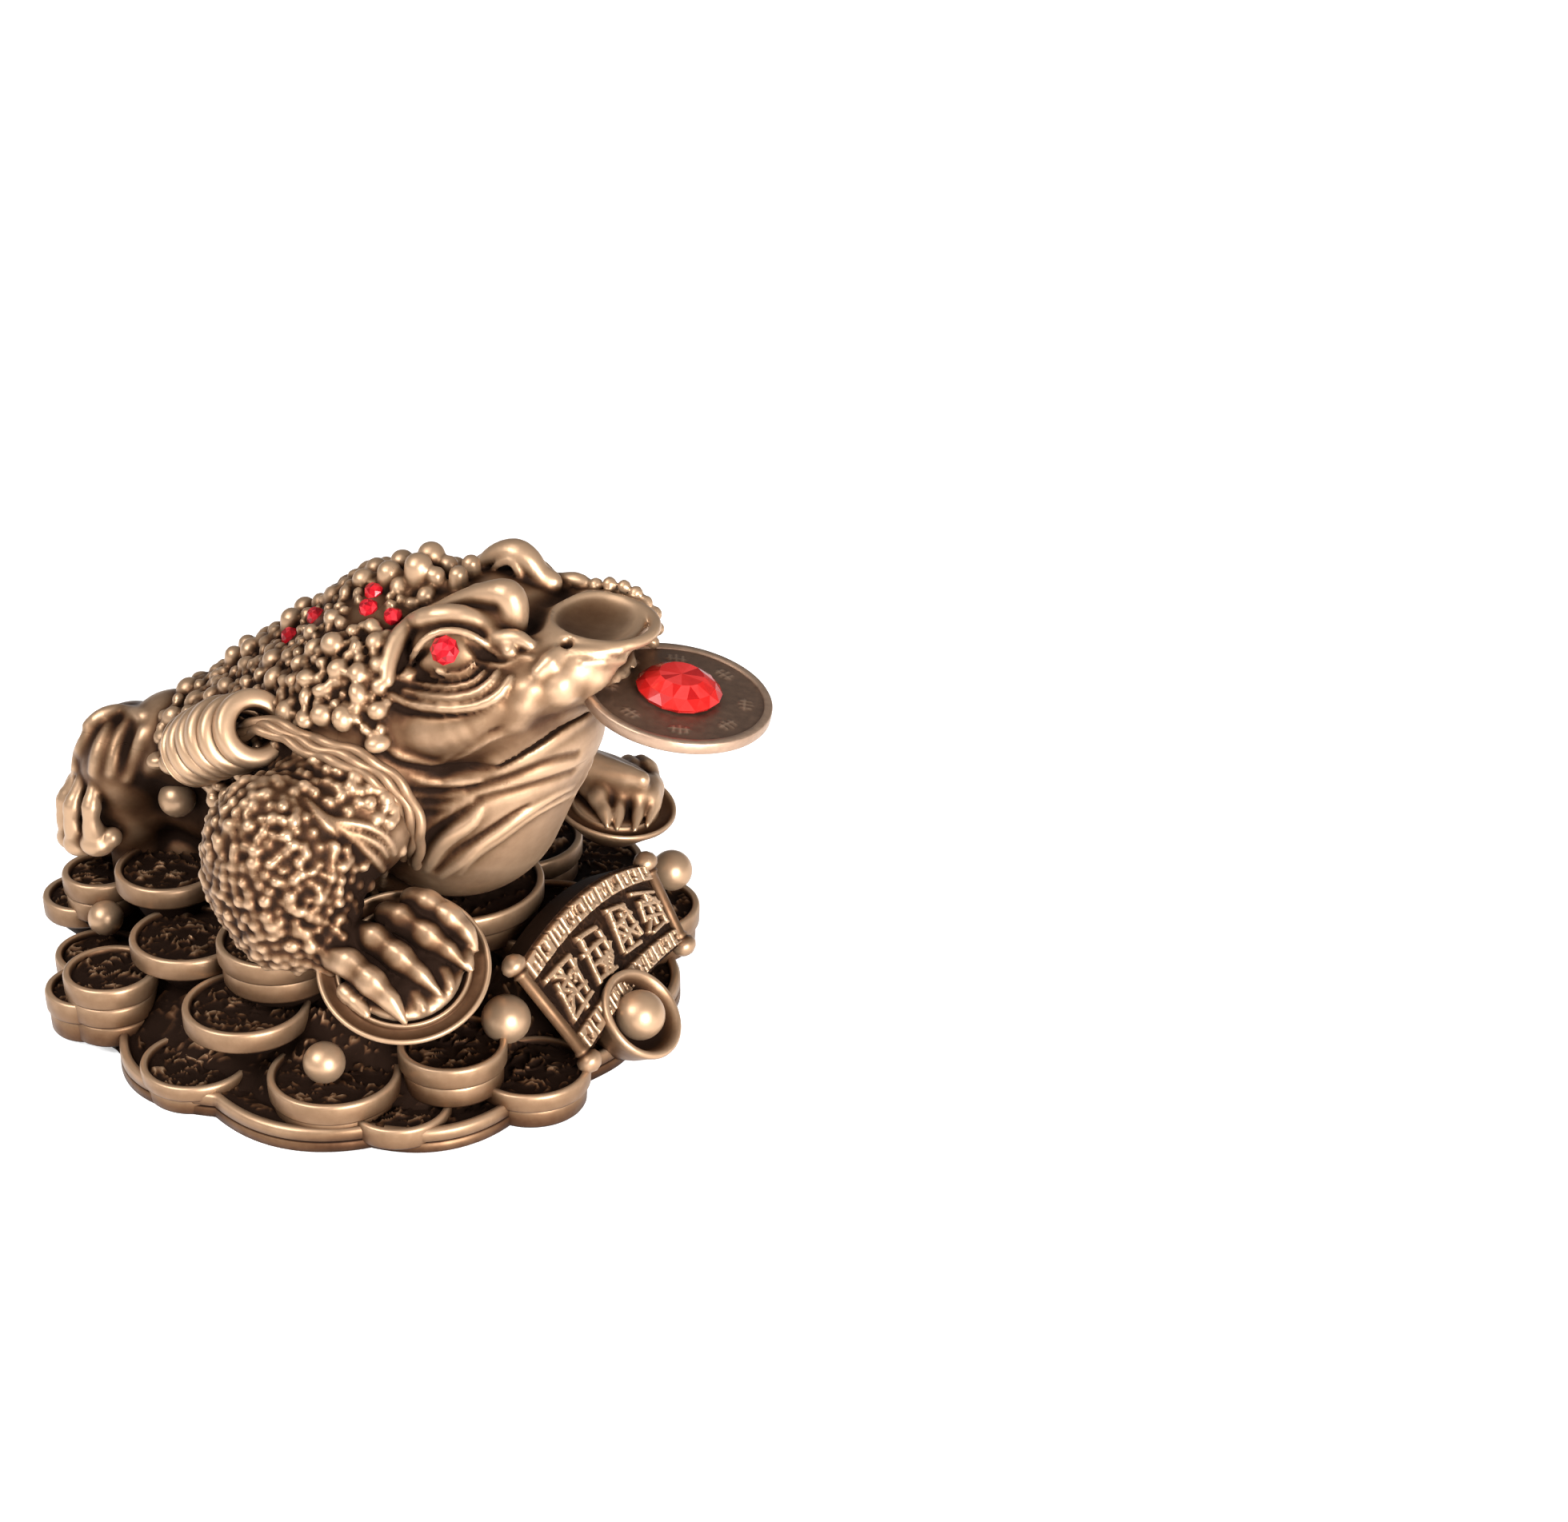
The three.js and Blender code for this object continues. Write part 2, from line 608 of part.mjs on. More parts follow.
const bronze = () => new THREE.MeshStandardMaterial({ color: 0x8f6b4c, roughness: 0.38, metalness: 0.85 });
const darkCoin = () => new THREE.MeshStandardMaterial({ color: 0x4a3d33, roughness: 0.5, metalness: 0.7 });
const redStone = () => new THREE.MeshStandardMaterial({ color: 0xc81420, roughness: 0.1, metalness: 0 });

const toad = new THREE.Group();

function addPiece(name, geometry, material) {
  const mesh = new THREE.Mesh(geometry, material);
  mesh.name = name;
  toad.add(mesh);
}

addPiece("toad_on_coins", geometryOf(castFigure()), bronze());
addPiece("mouth_coin", geometryOf(solid(mouthCoin())), darkCoin());
addPiece("coin_gem", geometryOf(solid(coinGem())), redStone());
Object.entries(eyeGems).forEach(([name, { gem }]) => {
  addPiece(`eye_gem_${name}`, geometryOf(solid(gem)), redStone());
});
backGems.forEach(({ gem }, i) => addPiece(`back_gem_${i + 1}`, geometryOf(solid(gem)), redStone()));

export default toad;
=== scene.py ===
"""A three-legged money toad on a pile of coins, in bronze paint over a dark patina.

The toad is modelled as clay: a grid of distances that forms are added to and cut from, and that
is then covered with a skin of faces. Coins, rings, pearls and stones are turned meshes.
Lengths are millimetres until a mesh is made. The toad faces +X, its left is +Y, up is +Z.
"""
import copy
import math

import bpy
import numpy as np
from mathutils import Matrix, Vector


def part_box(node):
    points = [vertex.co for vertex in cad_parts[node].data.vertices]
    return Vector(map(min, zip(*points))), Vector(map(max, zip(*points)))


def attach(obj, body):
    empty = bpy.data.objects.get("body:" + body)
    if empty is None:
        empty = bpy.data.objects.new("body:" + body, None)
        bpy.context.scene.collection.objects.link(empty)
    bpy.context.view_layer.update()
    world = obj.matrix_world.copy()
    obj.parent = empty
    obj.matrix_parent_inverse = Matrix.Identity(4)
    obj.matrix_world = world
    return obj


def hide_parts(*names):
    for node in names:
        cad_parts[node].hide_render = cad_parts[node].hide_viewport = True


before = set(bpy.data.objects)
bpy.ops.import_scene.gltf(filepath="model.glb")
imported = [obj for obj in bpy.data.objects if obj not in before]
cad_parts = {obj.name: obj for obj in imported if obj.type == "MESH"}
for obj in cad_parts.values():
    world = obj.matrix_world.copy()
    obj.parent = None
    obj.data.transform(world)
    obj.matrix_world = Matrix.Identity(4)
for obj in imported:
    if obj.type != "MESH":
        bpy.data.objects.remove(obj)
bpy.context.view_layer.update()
MM = 0.001
RIGHT, LEFT = -1, 1
SIDES = (RIGHT, LEFT)
rng = np.random.default_rng(11)


def lerp(a, b, share):
    return a + (b - a) * share


def unit(vectors):
    """A direction, or rows of them, made one long."""
    vectors = np.asarray(vectors, float)
    return vectors / np.linalg.norm(vectors, axis=-1, keepdims=True)


def across_to(direction):
    """Two directions square to one, the first as level as can be."""
    upright = abs(direction[2]) >= 0.999
    level = np.array((1.0, 0, 0)) if upright else unit(np.cross((0, 0, 1), direction))
    return level, np.cross(direction, level)


# The camera, and the places that it sees

IMAGE = (1960, 1903)
SENSOR = 36
VIEW_AZIMUTH = 29
VIEW_ELEVATION = 28.5
VIEW_DISTANCE = 480
AIM = np.array((4.0, 0.0, 26.0))
AIM_PIXEL = (472.9, 995.15)
PIXELS_PER_MM = 9.454


class View:
    """The photo's camera in millimetres: its place, its axes and its focal length in pixels."""

    def __init__(self):
        azimuth, elevation = math.radians(VIEW_AZIMUTH), math.radians(VIEW_ELEVATION)
        right = np.array((math.cos(azimuth), math.sin(azimuth), 0.0))
        level = np.array((math.sin(azimuth), -math.cos(azimuth), 0.0))
        back = math.cos(elevation) * level + (0, 0, math.sin(elevation))
        up = np.cross(back, right)
        self.place = AIM + VIEW_DISTANCE * back
        over = (IMAGE[0] / 2 - AIM_PIXEL[0]) / PIXELS_PER_MM
        above = (AIM_PIXEL[1] - IMAGE[1] / 2) / PIXELS_PER_MM
        self.forward = unit(AIM + right * over + up * above - self.place)
        self.right = unit(np.cross(self.forward, (0, 0, 1)))
        self.up = np.cross(self.right, self.forward)
        self.focal = PIXELS_PER_MM * ((AIM - self.place) @ self.forward)

    def ray(self, pixel):
        over, down = pixel[0] - IMAGE[0] / 2, pixel[1] - IMAGE[1] / 2
        return unit(self.forward * self.focal + self.right * over - self.up * down)

    def meet(self, pixels, place, facing):
        """Where the rays of pixels cross the plane through a place that faces this way."""
        rays = np.array([self.ray(pixel) for pixel in pixels])
        way = ((np.asarray(place, float) - self.place) @ facing) / (rays @ facing)
        return self.place + rays * way[:, None]

    def beside(self, pixels, left):
        """Where they cross the upright plane along the toad, this far to the left of its middle."""
        return self.meet(pixels, (0, left, 0), (0, 1, 0))


VIEW = View()


# Forms: a distance, below zero inside, and the box that holds it


class Form:
    def __init__(self, distance, low, high):
        self.distance = distance
        self.low = np.asarray(low, float)
        self.high = np.asarray(high, float)


def ball(middle, radius):
    middle = np.asarray(middle, float)

    def distance(x, y, z):
        return np.sqrt((x - middle[0]) ** 2 + (y - middle[1]) ** 2 + (z - middle[2]) ** 2) - radius

    return Form(distance, middle - radius, middle + radius)


def pose(tilt, turn):
    """The axes of a form with its nose up by tilt and turned to the left by turn, in degrees."""
    level, steep = math.cos(math.radians(tilt)), math.sin(math.radians(tilt))
    up = np.array(((level, 0, -steep), (0, 1, 0), (steep, 0, level)))
    ahead, beside = math.cos(math.radians(turn)), math.sin(math.radians(turn))
    return np.array(((ahead, -beside, 0), (beside, ahead, 0), (0, 0, 1))) @ up


def egg(middle, radii, tilt=0, turn=0, axes=None):
    middle = np.asarray(middle, float)
    radii = np.asarray(radii, float)
    axes = pose(tilt, turn) if axes is None else axes
    reach = np.sqrt(((axes * radii) ** 2).sum(axis=1))

    def distance(x, y, z):
        x, y, z = x - middle[0], y - middle[1], z - middle[2]
        near, far = 0, 0
        for i in range(3):
            q = (x * axes[0, i] + y * axes[1, i] + z * axes[2, i]) / radii[i]
            near = near + q**2
            far = far + (q / radii[i]) ** 2
        near = np.sqrt(near)
        return near * (near - 1) / np.sqrt(np.maximum(far, 1e-9))

    return Form(distance, middle - reach, middle + reach)


def limb(start, end, start_radius, end_radius, widening=1.0):
    """A round-ended limb, wider across the toad by the factor widening."""
    start, end = np.asarray(start, float), np.asarray(end, float)
    squeeze = np.array((1, 1 / widening, 1))
    a, along = start * squeeze, (end - start) * squeeze
    length = along @ along
    widest = max(start_radius, end_radius) * np.array((1, widening, 1))

    def distance(x, y, z):
        x, y, z = x - a[0], y * squeeze[1] - a[1], z - a[2]
        share = np.clip((x * along[0] + y * along[1] + z * along[2]) / length, 0, 1)
        x, y, z = x - share * along[0], y - share * along[1], z - share * along[2]
        return np.sqrt(x**2 + y**2 + z**2) - lerp(start_radius, end_radius, share)

    return Form(distance, np.minimum(start, end) - widest, np.maximum(start, end) + widest)


def rope(points, radii):
    """Limbs end to end through points, with one radius or a radius at each."""
    radii = [radii] * len(points) if np.isscalar(radii) else radii
    ends = zip(points, points[1:], radii, radii[1:])
    parts = [limb(*end) for end in ends]

    def distance(x, y, z):
        gap = parts[0].distance(x, y, z)
        for part in parts[1:]:
            gap = np.minimum(gap, part.distance(x, y, z))
        return gap

    low = np.min([part.low for part in parts], axis=0)
    return Form(distance, low, np.max([part.high for part in parts], axis=0))


def melted(a, b, size):
    """The nearer of two distances, with the meeting line filled to a round of this size."""
    if size <= 0:
        return np.minimum(a, b)
    near = np.maximum(size - np.abs(a - b), 0) / size
    return np.minimum(a, b) - near * near * size / 4


def curve(points, count):
    """Points evenly along a smooth curve through some."""
    points = np.asarray(points, float)
    ends = np.vstack((2 * points[0] - points[1], points, 2 * points[-1] - points[-2]))
    out = []
    for share in np.linspace(0, len(points) - 1, count):
        i = min(int(share), len(points) - 2)
        t = share - i
        a, b, c, d = ends[i : i + 4]
        bend = 2 * a - 5 * b + 4 * c - d
        out.append(0.5 * (2 * b + (c - a) * t + bend * t**2 + (3 * b - a - 3 * c + d) * t**3))
    return np.array(out)


def values_along(count, places, values):
    """Values evenly along something, from those at some shares of its length."""
    return np.interp(np.linspace(0, 1, count), places, values)


# Clay


class Clay:
    """A block of space whose grid holds the distance to the clay's surface."""

    FAR = 9.0

    def __init__(self, low, high, step):
        self.step = step
        self.low = np.array(low, float)
        counts = np.ceil((np.array(high) - self.low) / step).astype(int) + 1
        steps = [step * np.arange(count) for count in counts]
        self.axes = [(start + part).astype(np.float32) for start, part in zip(self.low, steps)]
        self.field = np.full(counts, self.FAR, np.float32)

    def emptied(self):
        """Another block of the same space, with nothing in it."""
        other = copy.copy(self)
        other.field = np.full(self.field.shape, self.FAR, np.float32)
        return other

    def window(self, low, high):
        """The part of the grid that a box takes up."""
        slices = []
        for axis, start, end, origin in zip(self.axes, low, high, self.low):
            first = np.clip(math.floor((start - origin) / self.step), 0, len(axis))
            last = np.clip(math.ceil((end - origin) / self.step) + 1, 0, len(axis))
            slices.append(slice(int(first), int(last)))
        return tuple(slices)

    def spots(self, window):
        x, y, z = (self.axes[i][window[i]] for i in range(3))
        return x[:, None, None], y[None, :, None], z[None, None, :]

    def shape(self, form, sign, fillet):
        reach = fillet + 1.5
        window = self.window(form.low - reach, form.high + reach)
        part = self.field[window]
        if part.size:
            part[...] = sign * melted(sign * part, form.distance(*self.spots(window)), fillet)

    def add(self, form, fillet=0.0):
        self.shape(form, 1, fillet)

    def cut(self, form, fillet=0.0):
        self.shape(form, -1, fillet)

    def sample(self, grid, points):
        """A grid's value at points, from its eight nearest corners."""
        q = (np.asarray(points, float) - self.low) / self.step
        q = np.clip(q, 0, np.array(grid.shape) - 1.001)
        i = q.astype(int)
        t = q - i
        total = 0
        for corner in np.ndindex(2, 2, 2):
            share = np.prod(np.where(corner, t, 1 - t), axis=-1)
            total = total + share * grid[tuple(np.moveaxis(i + corner, -1, 0))]
        return total

    def slope(self, points):
        """The direction straight out of the clay at points."""
        points, field = np.asarray(points, float), self.field
        steps = np.eye(3) * self.step
        rise = [self.sample(field, points + s) - self.sample(field, points - s) for s in steps]
        rise = np.stack(rise, axis=-1)
        return rise / np.maximum(np.linalg.norm(rise, axis=-1, keepdims=True), 1e-9)

    def settled(self, points, lift=0.0):
        """Points moved straight onto the surface, or to a height over it."""
        points = np.array(points, float)
        for _ in range(4):
            gap = self.sample(self.field, points) - lift
            points = points - self.slope(points) * gap[..., None]
        return points

    def seen(self, pixels):
        """The places on the clay that the photograph shows at some of its pixels."""
        out = []
        for pixel in pixels:
            ray = VIEW.ray(pixel)
            ways = VIEW_DISTANCE + np.arange(-75, 75, self.step / 2)
            points = VIEW.place + ways[:, None] * ray
            gaps = self.sample(self.field, points)
            first = int(np.argmax(gaps < 0)) if gaps.min() < 0 else int(np.argmin(gaps))
            back = gaps[first] / (gaps[first] - gaps[first - 1]) if gaps[first] < 0 else 0
            out.append(lerp(points[first], points[first - 1], back))
        return np.array(out)

    def drawn(self, pixels, count):
        """The same along a smooth curve through the pixels."""
        return self.seen(curve(pixels, count))


# The twelve edges of a cell, as pairs of its corners
CORNERS = np.array(list(np.ndindex(2, 2, 2)))
EDGES = [
    (a, b)
    for a in range(8)
    for b in range(a + 1, 8)
    if np.abs(CORNERS[a] - CORNERS[b]).sum() == 1
]


def cell_points(clay, cells):
    """The point of each cell: the middle of the places where the surface crosses its edges."""
    values = [clay.field[tuple((cells + corner).T)] for corner in CORNERS]
    total = np.zeros((len(cells), 3))
    crossed = np.zeros(len(cells))
    for a, b in EDGES:
        crosses = (values[a] < 0) != (values[b] < 0)
        gap = np.where(crosses, values[a] - values[b], 1)
        share = np.where(crosses, values[a] / gap, 0)
        point = CORNERS[a] + share[:, None] * (CORNERS[b] - CORNERS[a])
        total += point * crosses[:, None]
        crossed += crosses
    return clay.low + clay.step * (cells + total / crossed[:, None])


def faces_along(inside, number, axis):
    """A face wherever the surface passes between two grid points along an axis."""
    one, two = (axis + 1) % 3, (axis + 2) % 3
    near = np.moveaxis(inside, axis, 0)
    change = near[1:] != near[:-1]
    outward = near[:-1] & change
    place = np.argwhere(np.moveaxis(change, 0, axis))
    flip = np.moveaxis(outward, 0, axis)[tuple(place.T)]
    square = place[:, (one, two)]
    keep = ((square > 0) & (square < np.array(number.shape)[[one, two]])).all(axis=1)
    place, flip = place[keep], flip[keep]
    ring = []
    for back_one, back_two in ((1, 1), (0, 1), (0, 0), (1, 0)):
        cell = place.copy()
        cell[:, one] -= back_one
        cell[:, two] -= back_two
        ring.append(number[tuple(cell.T)])
    quads = np.stack(ring, axis=1)
    quads[~flip] = quads[~flip][:, ::-1]
    return quads


def skinned(clay):
    """The clay's surface as points and four-sided faces, a point in each cell that it crosses."""
    inside = clay.field < 0
    halves = [slice(0, -1), slice(1, None)]
    full = sum(inside[halves[a], halves[b], halves[c]].astype(np.int8) for a, b, c in CORNERS)
    active = (full > 0) & (full < 8)
    cells = np.argwhere(active)
    number = np.full(active.shape, -1, np.int32)
    number[active] = np.arange(len(cells))
    faces = [faces_along(inside, number, axis) for axis in range(3)]
    return cell_points(clay, cells), np.concatenate(faces)


def smoothed(points, faces, strength):
    """Points drawn towards the middle of their neighbours and back out, which keeps the size."""
    ends = np.concatenate([faces[:, [i, (i + 1) % 4]] for i in range(4)])
    count = np.bincount(ends.ravel(), minlength=len(points))[:, None]
    for factor in (strength, -strength * 1.04):
        total = np.zeros_like(points)
        for axis in range(3):
            total[:, axis] = np.bincount(ends[:, 0], points[ends[:, 1], axis], len(points))
            total[:, axis] += np.bincount(ends[:, 1], points[ends[:, 0], axis], len(points))
        points = points + factor * (total / np.maximum(count, 1) - points)
    return points


def blurred(values, cells):
    """Each value replaced by the mean of those up to some cells away, twice along each axis."""
    for axis in range(3):
        for _ in range(2):
            pad = [(0, 0)] * 3
            pad[axis] = (cells + 1, cells)
            total = np.cumsum(np.pad(values, pad, mode="edge"), axis=axis, dtype=np.float32)
            length = total.shape[axis]
            ahead = np.take(total, range(2 * cells + 1, length), axis=axis)
            behind = np.take(total, range(0, length - 2 * cells - 1), axis=axis)
            values = (ahead - behind) / (2 * cells + 1)
    return values


def fullness(clay, reach):
    """How full the space round each grid point is: a half on flat clay, more in a hollow."""
    full = np.clip(0.5 - clay.field / clay.step, 0, 1)
    return blurred(full, max(1, round(reach / clay.step)))


def stone_seat(name):
    """From a stone's CAD node: the middle of its foot, the way it faces, its radius and height."""
    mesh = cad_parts[name].data
    points = np.array([vertex.co[:] for vertex in mesh.vertices]) / MM
    areas = {}
    for face in mesh.polygons:
        normal = tuple(np.round(face.normal, 2))
        areas[normal] = areas.get(normal, 0) + face.area
    facing = -unit(max(areas, key=areas.get))
    heights = points @ facing
    place = points[heights < heights.min() + 0.05].mean(axis=0)
    beside = points - place - np.outer((points - place) @ facing, facing)
    return place, facing, np.linalg.norm(beside, axis=1).max(), heights.max() - heights.min()


STONES = {name: stone_seat(name) for name in sorted(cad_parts) if "gem" in name}
BACK_STONES = [seat[:3] for name, seat in STONES.items() if name.startswith("back_gem")]


# The toad's forms

MOUTH_LINE = np.array((39.2, 0, 54.6))
EYE_MIDDLE = np.array((20.4, 9, 57.8))
EYE_CLEAR = 8.4  # no bead stands nearer to the middle of an eye
ARM_AHEAD = {RIGHT: 0, LEFT: 8}  # how far ahead of the near arm each one is
# The hands' dishes: the far one is smaller, as the photo shows it
DISH_MIDDLE = {RIGHT: np.array((20.9, -27.5, 22.3)), LEFT: np.array((28.2, 20.4, 22.8))}
DISH_RADIUS = {RIGHT: 10.9, LEFT: 8.4}
DISH_FACING = {RIGHT: (0.25, -0.45, 0.857), LEFT: (0.2, -0.03, 0.98)}


def mirrored(points, side):
    """Points given for the toad's right side, on either side."""
    return np.asarray(points, float) * (1, 1 if side == RIGHT else -1, 1)


def add_body(clay):
    """Trunk, belly, throat and hind leg, with the flanks hollowed out under the strings."""
    clay.add(limb((-15, 0, 29), (8, 0, 43.8), 14, 16, 1.3))  # trunk
    clay.add(egg((11, 0, 48.3), (12.5, 16, 13.5), 25), 5)  # shoulders
    for side in SIDES:
        clay.cut(egg((-17.5, 17.5 * side, 26), (12, 13.5, 10.2)), 2)  # flank
        clay.cut(egg((-17, 16 * side, 18.5), (15, 15, 8)), 1.5)
    clay.add(limb((-20, 0, 25), (6, 0, 25), 7, 9), 3)  # belly
    clay.add(egg((-9, 1, 19), (16, 9, 8)), 1)
    clay.add(egg((-25, -1, 17.3), (6, 5.5, 4.5)), 1)
    clay.add(limb((15.9, 0, 33), (23.2, 0, 46), 13.7, 12.4, 1.1), 1.0)  # throat
    clay.add(egg((-30.9, -4.5, 30.9), (6.9, 8, 7.3)), 1.2)  # knee
    clay.add(egg((-23.5, -4.5, 35), (7, 6.5, 6.6)), 2)  # thigh
    clay.add(limb((-24, 0, 30), (-16, 2, 32), 5, 6), 2)
    clay.add(egg((-32.4, -4.6, 24.5), (6.6, 6.4, 7.5)), 1.5)  # hind foot
    clay.add(limb((-31, -4, 20), (-30, -3.5, 12), 4.4, 5.4), 1)


def add_head(clay):
    """The head, built by itself and set into the body with a sharp fold round it."""
    head = clay.emptied()
    head.add(egg((23.5, 0, 52.5), (17, 15.5, 7), 20))  # jaw
    head.add(egg((33.5, 0, 57.2), (8.5, 10, 5.2), 14), 3)  # snout
    head.add(egg((31, 0, 55), (9.5, 12.5, 4), 18), 3)  # upper lip
    head.add(egg((20, 0, 58), (8.5, 11, 5.5)), 3)  # forehead
    for side in SIDES:
        head.add(egg((19.5, 10.5 * side, 49), (12, 6, 5.5), 14), 3)  # cheek
    clay.field = melted(clay.field, head.field, 0.8).astype(np.float32)


def arm_forms(side):
    """Upper arm, shoulder and forearm."""
    ahead = ARM_AHEAD[side]
    lift = ahead / 2
    elbow = (6.5 + ahead / 2, 28.5 * side, 26.5 + lift)
    wrist = DISH_MIDDLE[side] + (-8.5, 1.5 * side, 2.2)
    return [
        egg((4.2 + ahead, 27 * side, 32.6 + lift), (9.8, 8.2, 12.6), 8, -6 * side),
        egg((8 + ahead, 19 * side, 37 + lift), (10, 9, 9), 10),
        limb(elbow, wrist, 6, 3.6),
    ]


def add_arms(clay):
    for side in SIDES:
        for form, fillet in zip(arm_forms(side), (1.0, 3, 3)):
            clay.add(form, fillet)


# Drawn on the photo, in its pixels: the fingers of each hand, the near one's claws between them,
# and the wrist of the far one
FINGERS = {
    RIGHT: [
        [(418, 1200), (442, 1214), (466, 1234), (488, 1253), (506, 1275)],
        [(452, 1170), (474, 1183), (500, 1203), (526, 1222), (550, 1240)],
        [(484, 1146), (508, 1158), (536, 1176), (560, 1190), (581, 1205)],
        [(516, 1128), (540, 1140), (562, 1154), (582, 1168), (595, 1184)],
    ],
    LEFT: [
        [(728, 984), (738, 995), (748, 1006), (756, 1018), (760, 1030)],
        [(758, 966), (766, 982), (770, 1000), (772, 1017), (772, 1033)],
        [(784, 958), (792, 974), (796, 994), (797, 1014), (794, 1034)],
        [(800, 958), (810, 974), (816, 992), (816, 1010), (810, 1028)],
    ],
}
CLAWS = [
    [(432, 1240), (446, 1253), (459, 1270)],
    [(506, 1232), (519, 1244), (529, 1263)],
    [(540, 1203), (554, 1216), (564, 1236)],
    [(484, 1226), (500, 1238), (512, 1256)],
    [(566, 1180), (580, 1194), (588, 1212)],
    [(520, 1190), (536, 1206), (548, 1226)],
]
FAR_WRIST = [(735, 950), (755, 955), (785, 962), (802, 966)]
# A finger's height over its dish, and its radius, at shares of its length
FINGER_PLACES = (0, 0.2, 0.34, 0.48, 0.62, 0.76, 1)
FINGER_HEIGHTS = (0.5, 1.3, 0.8, 1.15, 0.5, 0.3, -0.8)
FINGER_RADII = (1.7, 2.0, 1.7, 2.0, 1.55, 1.35, 0.4)
CLAW_RADII = (1.2, 1.3, 1.1, 1.2, 1.0, 0.8, 0.5)


def add_finger(clay, middle, facing, size, pixels):
    """A knuckled finger with a crest along its top."""
    flat = curve(VIEW.meet(pixels, middle + 1.6 * size * facing, facing), 17)
    heights = values_along(17, FINGER_PLACES, FINGER_HEIGHTS) * size
    radii = values_along(17, FINGER_PLACES, FINGER_RADII) * size
    finger = flat + facing * heights[:, None]
    clay.add(rope(finger, radii), 0.3)
    clay.add(rope(finger + facing * (radii * 0.82)[:, None], radii * 0.3), 0.5)


def add_hand(clay, side):
    """A palm and four fingers that fill the dish, with claws on the near hand."""
    middle, facing = DISH_MIDDLE[side], unit(DISH_FACING[side])
    size = DISH_RADIUS[side] / DISH_RADIUS[RIGHT]
    palm = np.stack((*across_to(facing), facing), axis=1)
    radii = np.array((7.4, 7.4, 1.7)) * size
    clay.add(egg(middle + facing * size * -0.2, radii, axes=palm), 0.3)
    for pixels in FINGERS[side]:
        add_finger(clay, middle, facing, size, pixels)
    if side == RIGHT:
        for pixels in CLAWS:
            claw = curve(VIEW.meet(pixels, middle + 0.6 * facing, facing), len(CLAW_RADII))
            clay.add(rope(claw, CLAW_RADII), 0.25)
    else:
        wrist = VIEW.beside(FAR_WRIST, 20) - (0, 0, 1)
        clay.add(rope(wrist, (2.1, 1.8, 1.5, 1.1)), 0.6)
        clay.add(egg((26.8, 21.6, 26.6), (7.4, 3.6, 2.3), -14), 1.6)


# The hind foot: its tendons in the photo's pixels, its middle, and for each toe the heading in
# degrees and the height that it comes down to
TENDONS = [
    [(92, 968), (100, 938), (118, 908), (146, 886)],
    [(138, 965), (146, 930), (158, 904)],
    [(116, 965), (124, 936), (136, 908)],
    [(160, 972), (170, 945), (178, 915)],
    [(108, 905), (128, 893), (152, 889), (176, 894)],
]
HIND_FOOT = np.array((-32, -4.5, 0))
TOES = ((150, 19.5), (182, 19.5), (212, 19.6), (240, 20.6), (266, 21.8))
# From a toe's root to its tip: how far out it lies and how far over its end
TOE_REACH = (4.6, 6.1, 8.2, 8.8, 7.9)
TOE_RISE = (12, 9.4, 6, 3, 0)
TOE_PLACES = (0, 0.3, 0.42, 0.55, 0.7, 0.85, 1)
TOE_RADII = (0.5, 1.1, 1.0, 1.4, 1.1, 1.5, 1.9)
WEB_TURN = 0.26  # from a toe to the web beside it, in radians


def heading(turn):
    """The level direction this far round from ahead, in radians."""
    return np.array((math.cos(turn), math.sin(turn), 0))


def add_toes(clay):
    """The hind foot: tendons on the thigh, knuckled toes that spread down, their pads and webs."""
    for pixels in TENDONS:
        points = clay.drawn(pixels, 12)
        clay.add(rope(points - clay.slope(points) * 0.1, tapered(12, 0.95, 0.3)), 1.1)
    for degrees, end in TOES:
        turn = math.radians(degrees)
        out = heading(turn)
        bends = [HIND_FOOT + out * r + (0, 0, end + rise) for r, rise in zip(TOE_REACH, TOE_RISE)]
        toe = curve(bends, 17)
        clay.add(rope(toe, values_along(17, TOE_PLACES, TOE_RADII)), 0.3)
        clay.add(egg(toe[-1] - (0, 0, 0.4), (2.4, 2.3, 1.8)), 0.4)
        web = HIND_FOOT + 7.6 * heading(turn + WEB_TURN) + (0, 0, end + 0.6)
        clay.add(ball(web, 1.4), 0.4)


def tapered(count, radius, ends=0.2):
    """Radii that thin out towards both ends."""
    return radius * np.sin(np.linspace(ends, math.pi - ends, count)) ** 0.5


def ropes(clay, points, radius, fillet, ends=0.2, cut=False):
    """A rope through points on the toad's right side, thinner at its ends, and its twin."""
    radii = tapered(len(points), radius, ends) if np.isscalar(radius) else radius
    for side in SIDES:
        form = rope(mirrored(points, side), radii)
        (clay.cut if cut else clay.add)(form, fillet)


LIP = [(748, 868), (742, 876), (730, 888), (705, 906), (680, 925), (650, 944), (622, 960)]


def add_mouth(clay):
    """The overhanging upper lip and the thin dark line under it."""
    line = clay.drawn(LIP, 18)
    front = MOUTH_LINE + (1.6, 0, -0.6)
    line = np.vstack((curve([front, front + (-1.6, -3.6, -0.2), line[0]], 6)[:-1], line))
    above = line[5:] + (0, 0, 1.9)
    ropes(clay, clay.settled(above, -0.9), 1.9, 2.0, 0.35)
    groove = clay.settled(line, -0.25)
    ropes(clay, groove, 0.6, 0.1, 0.3, cut=True)
    below = clay.settled(line - (0, 0, 1.1), -0.5)
    ropes(clay, below, 0.7, 0.8, 0.3)
    clay.cut(egg((43.8, 0, 56.3), (4.8, 6.6, 2.3)), 0.3)


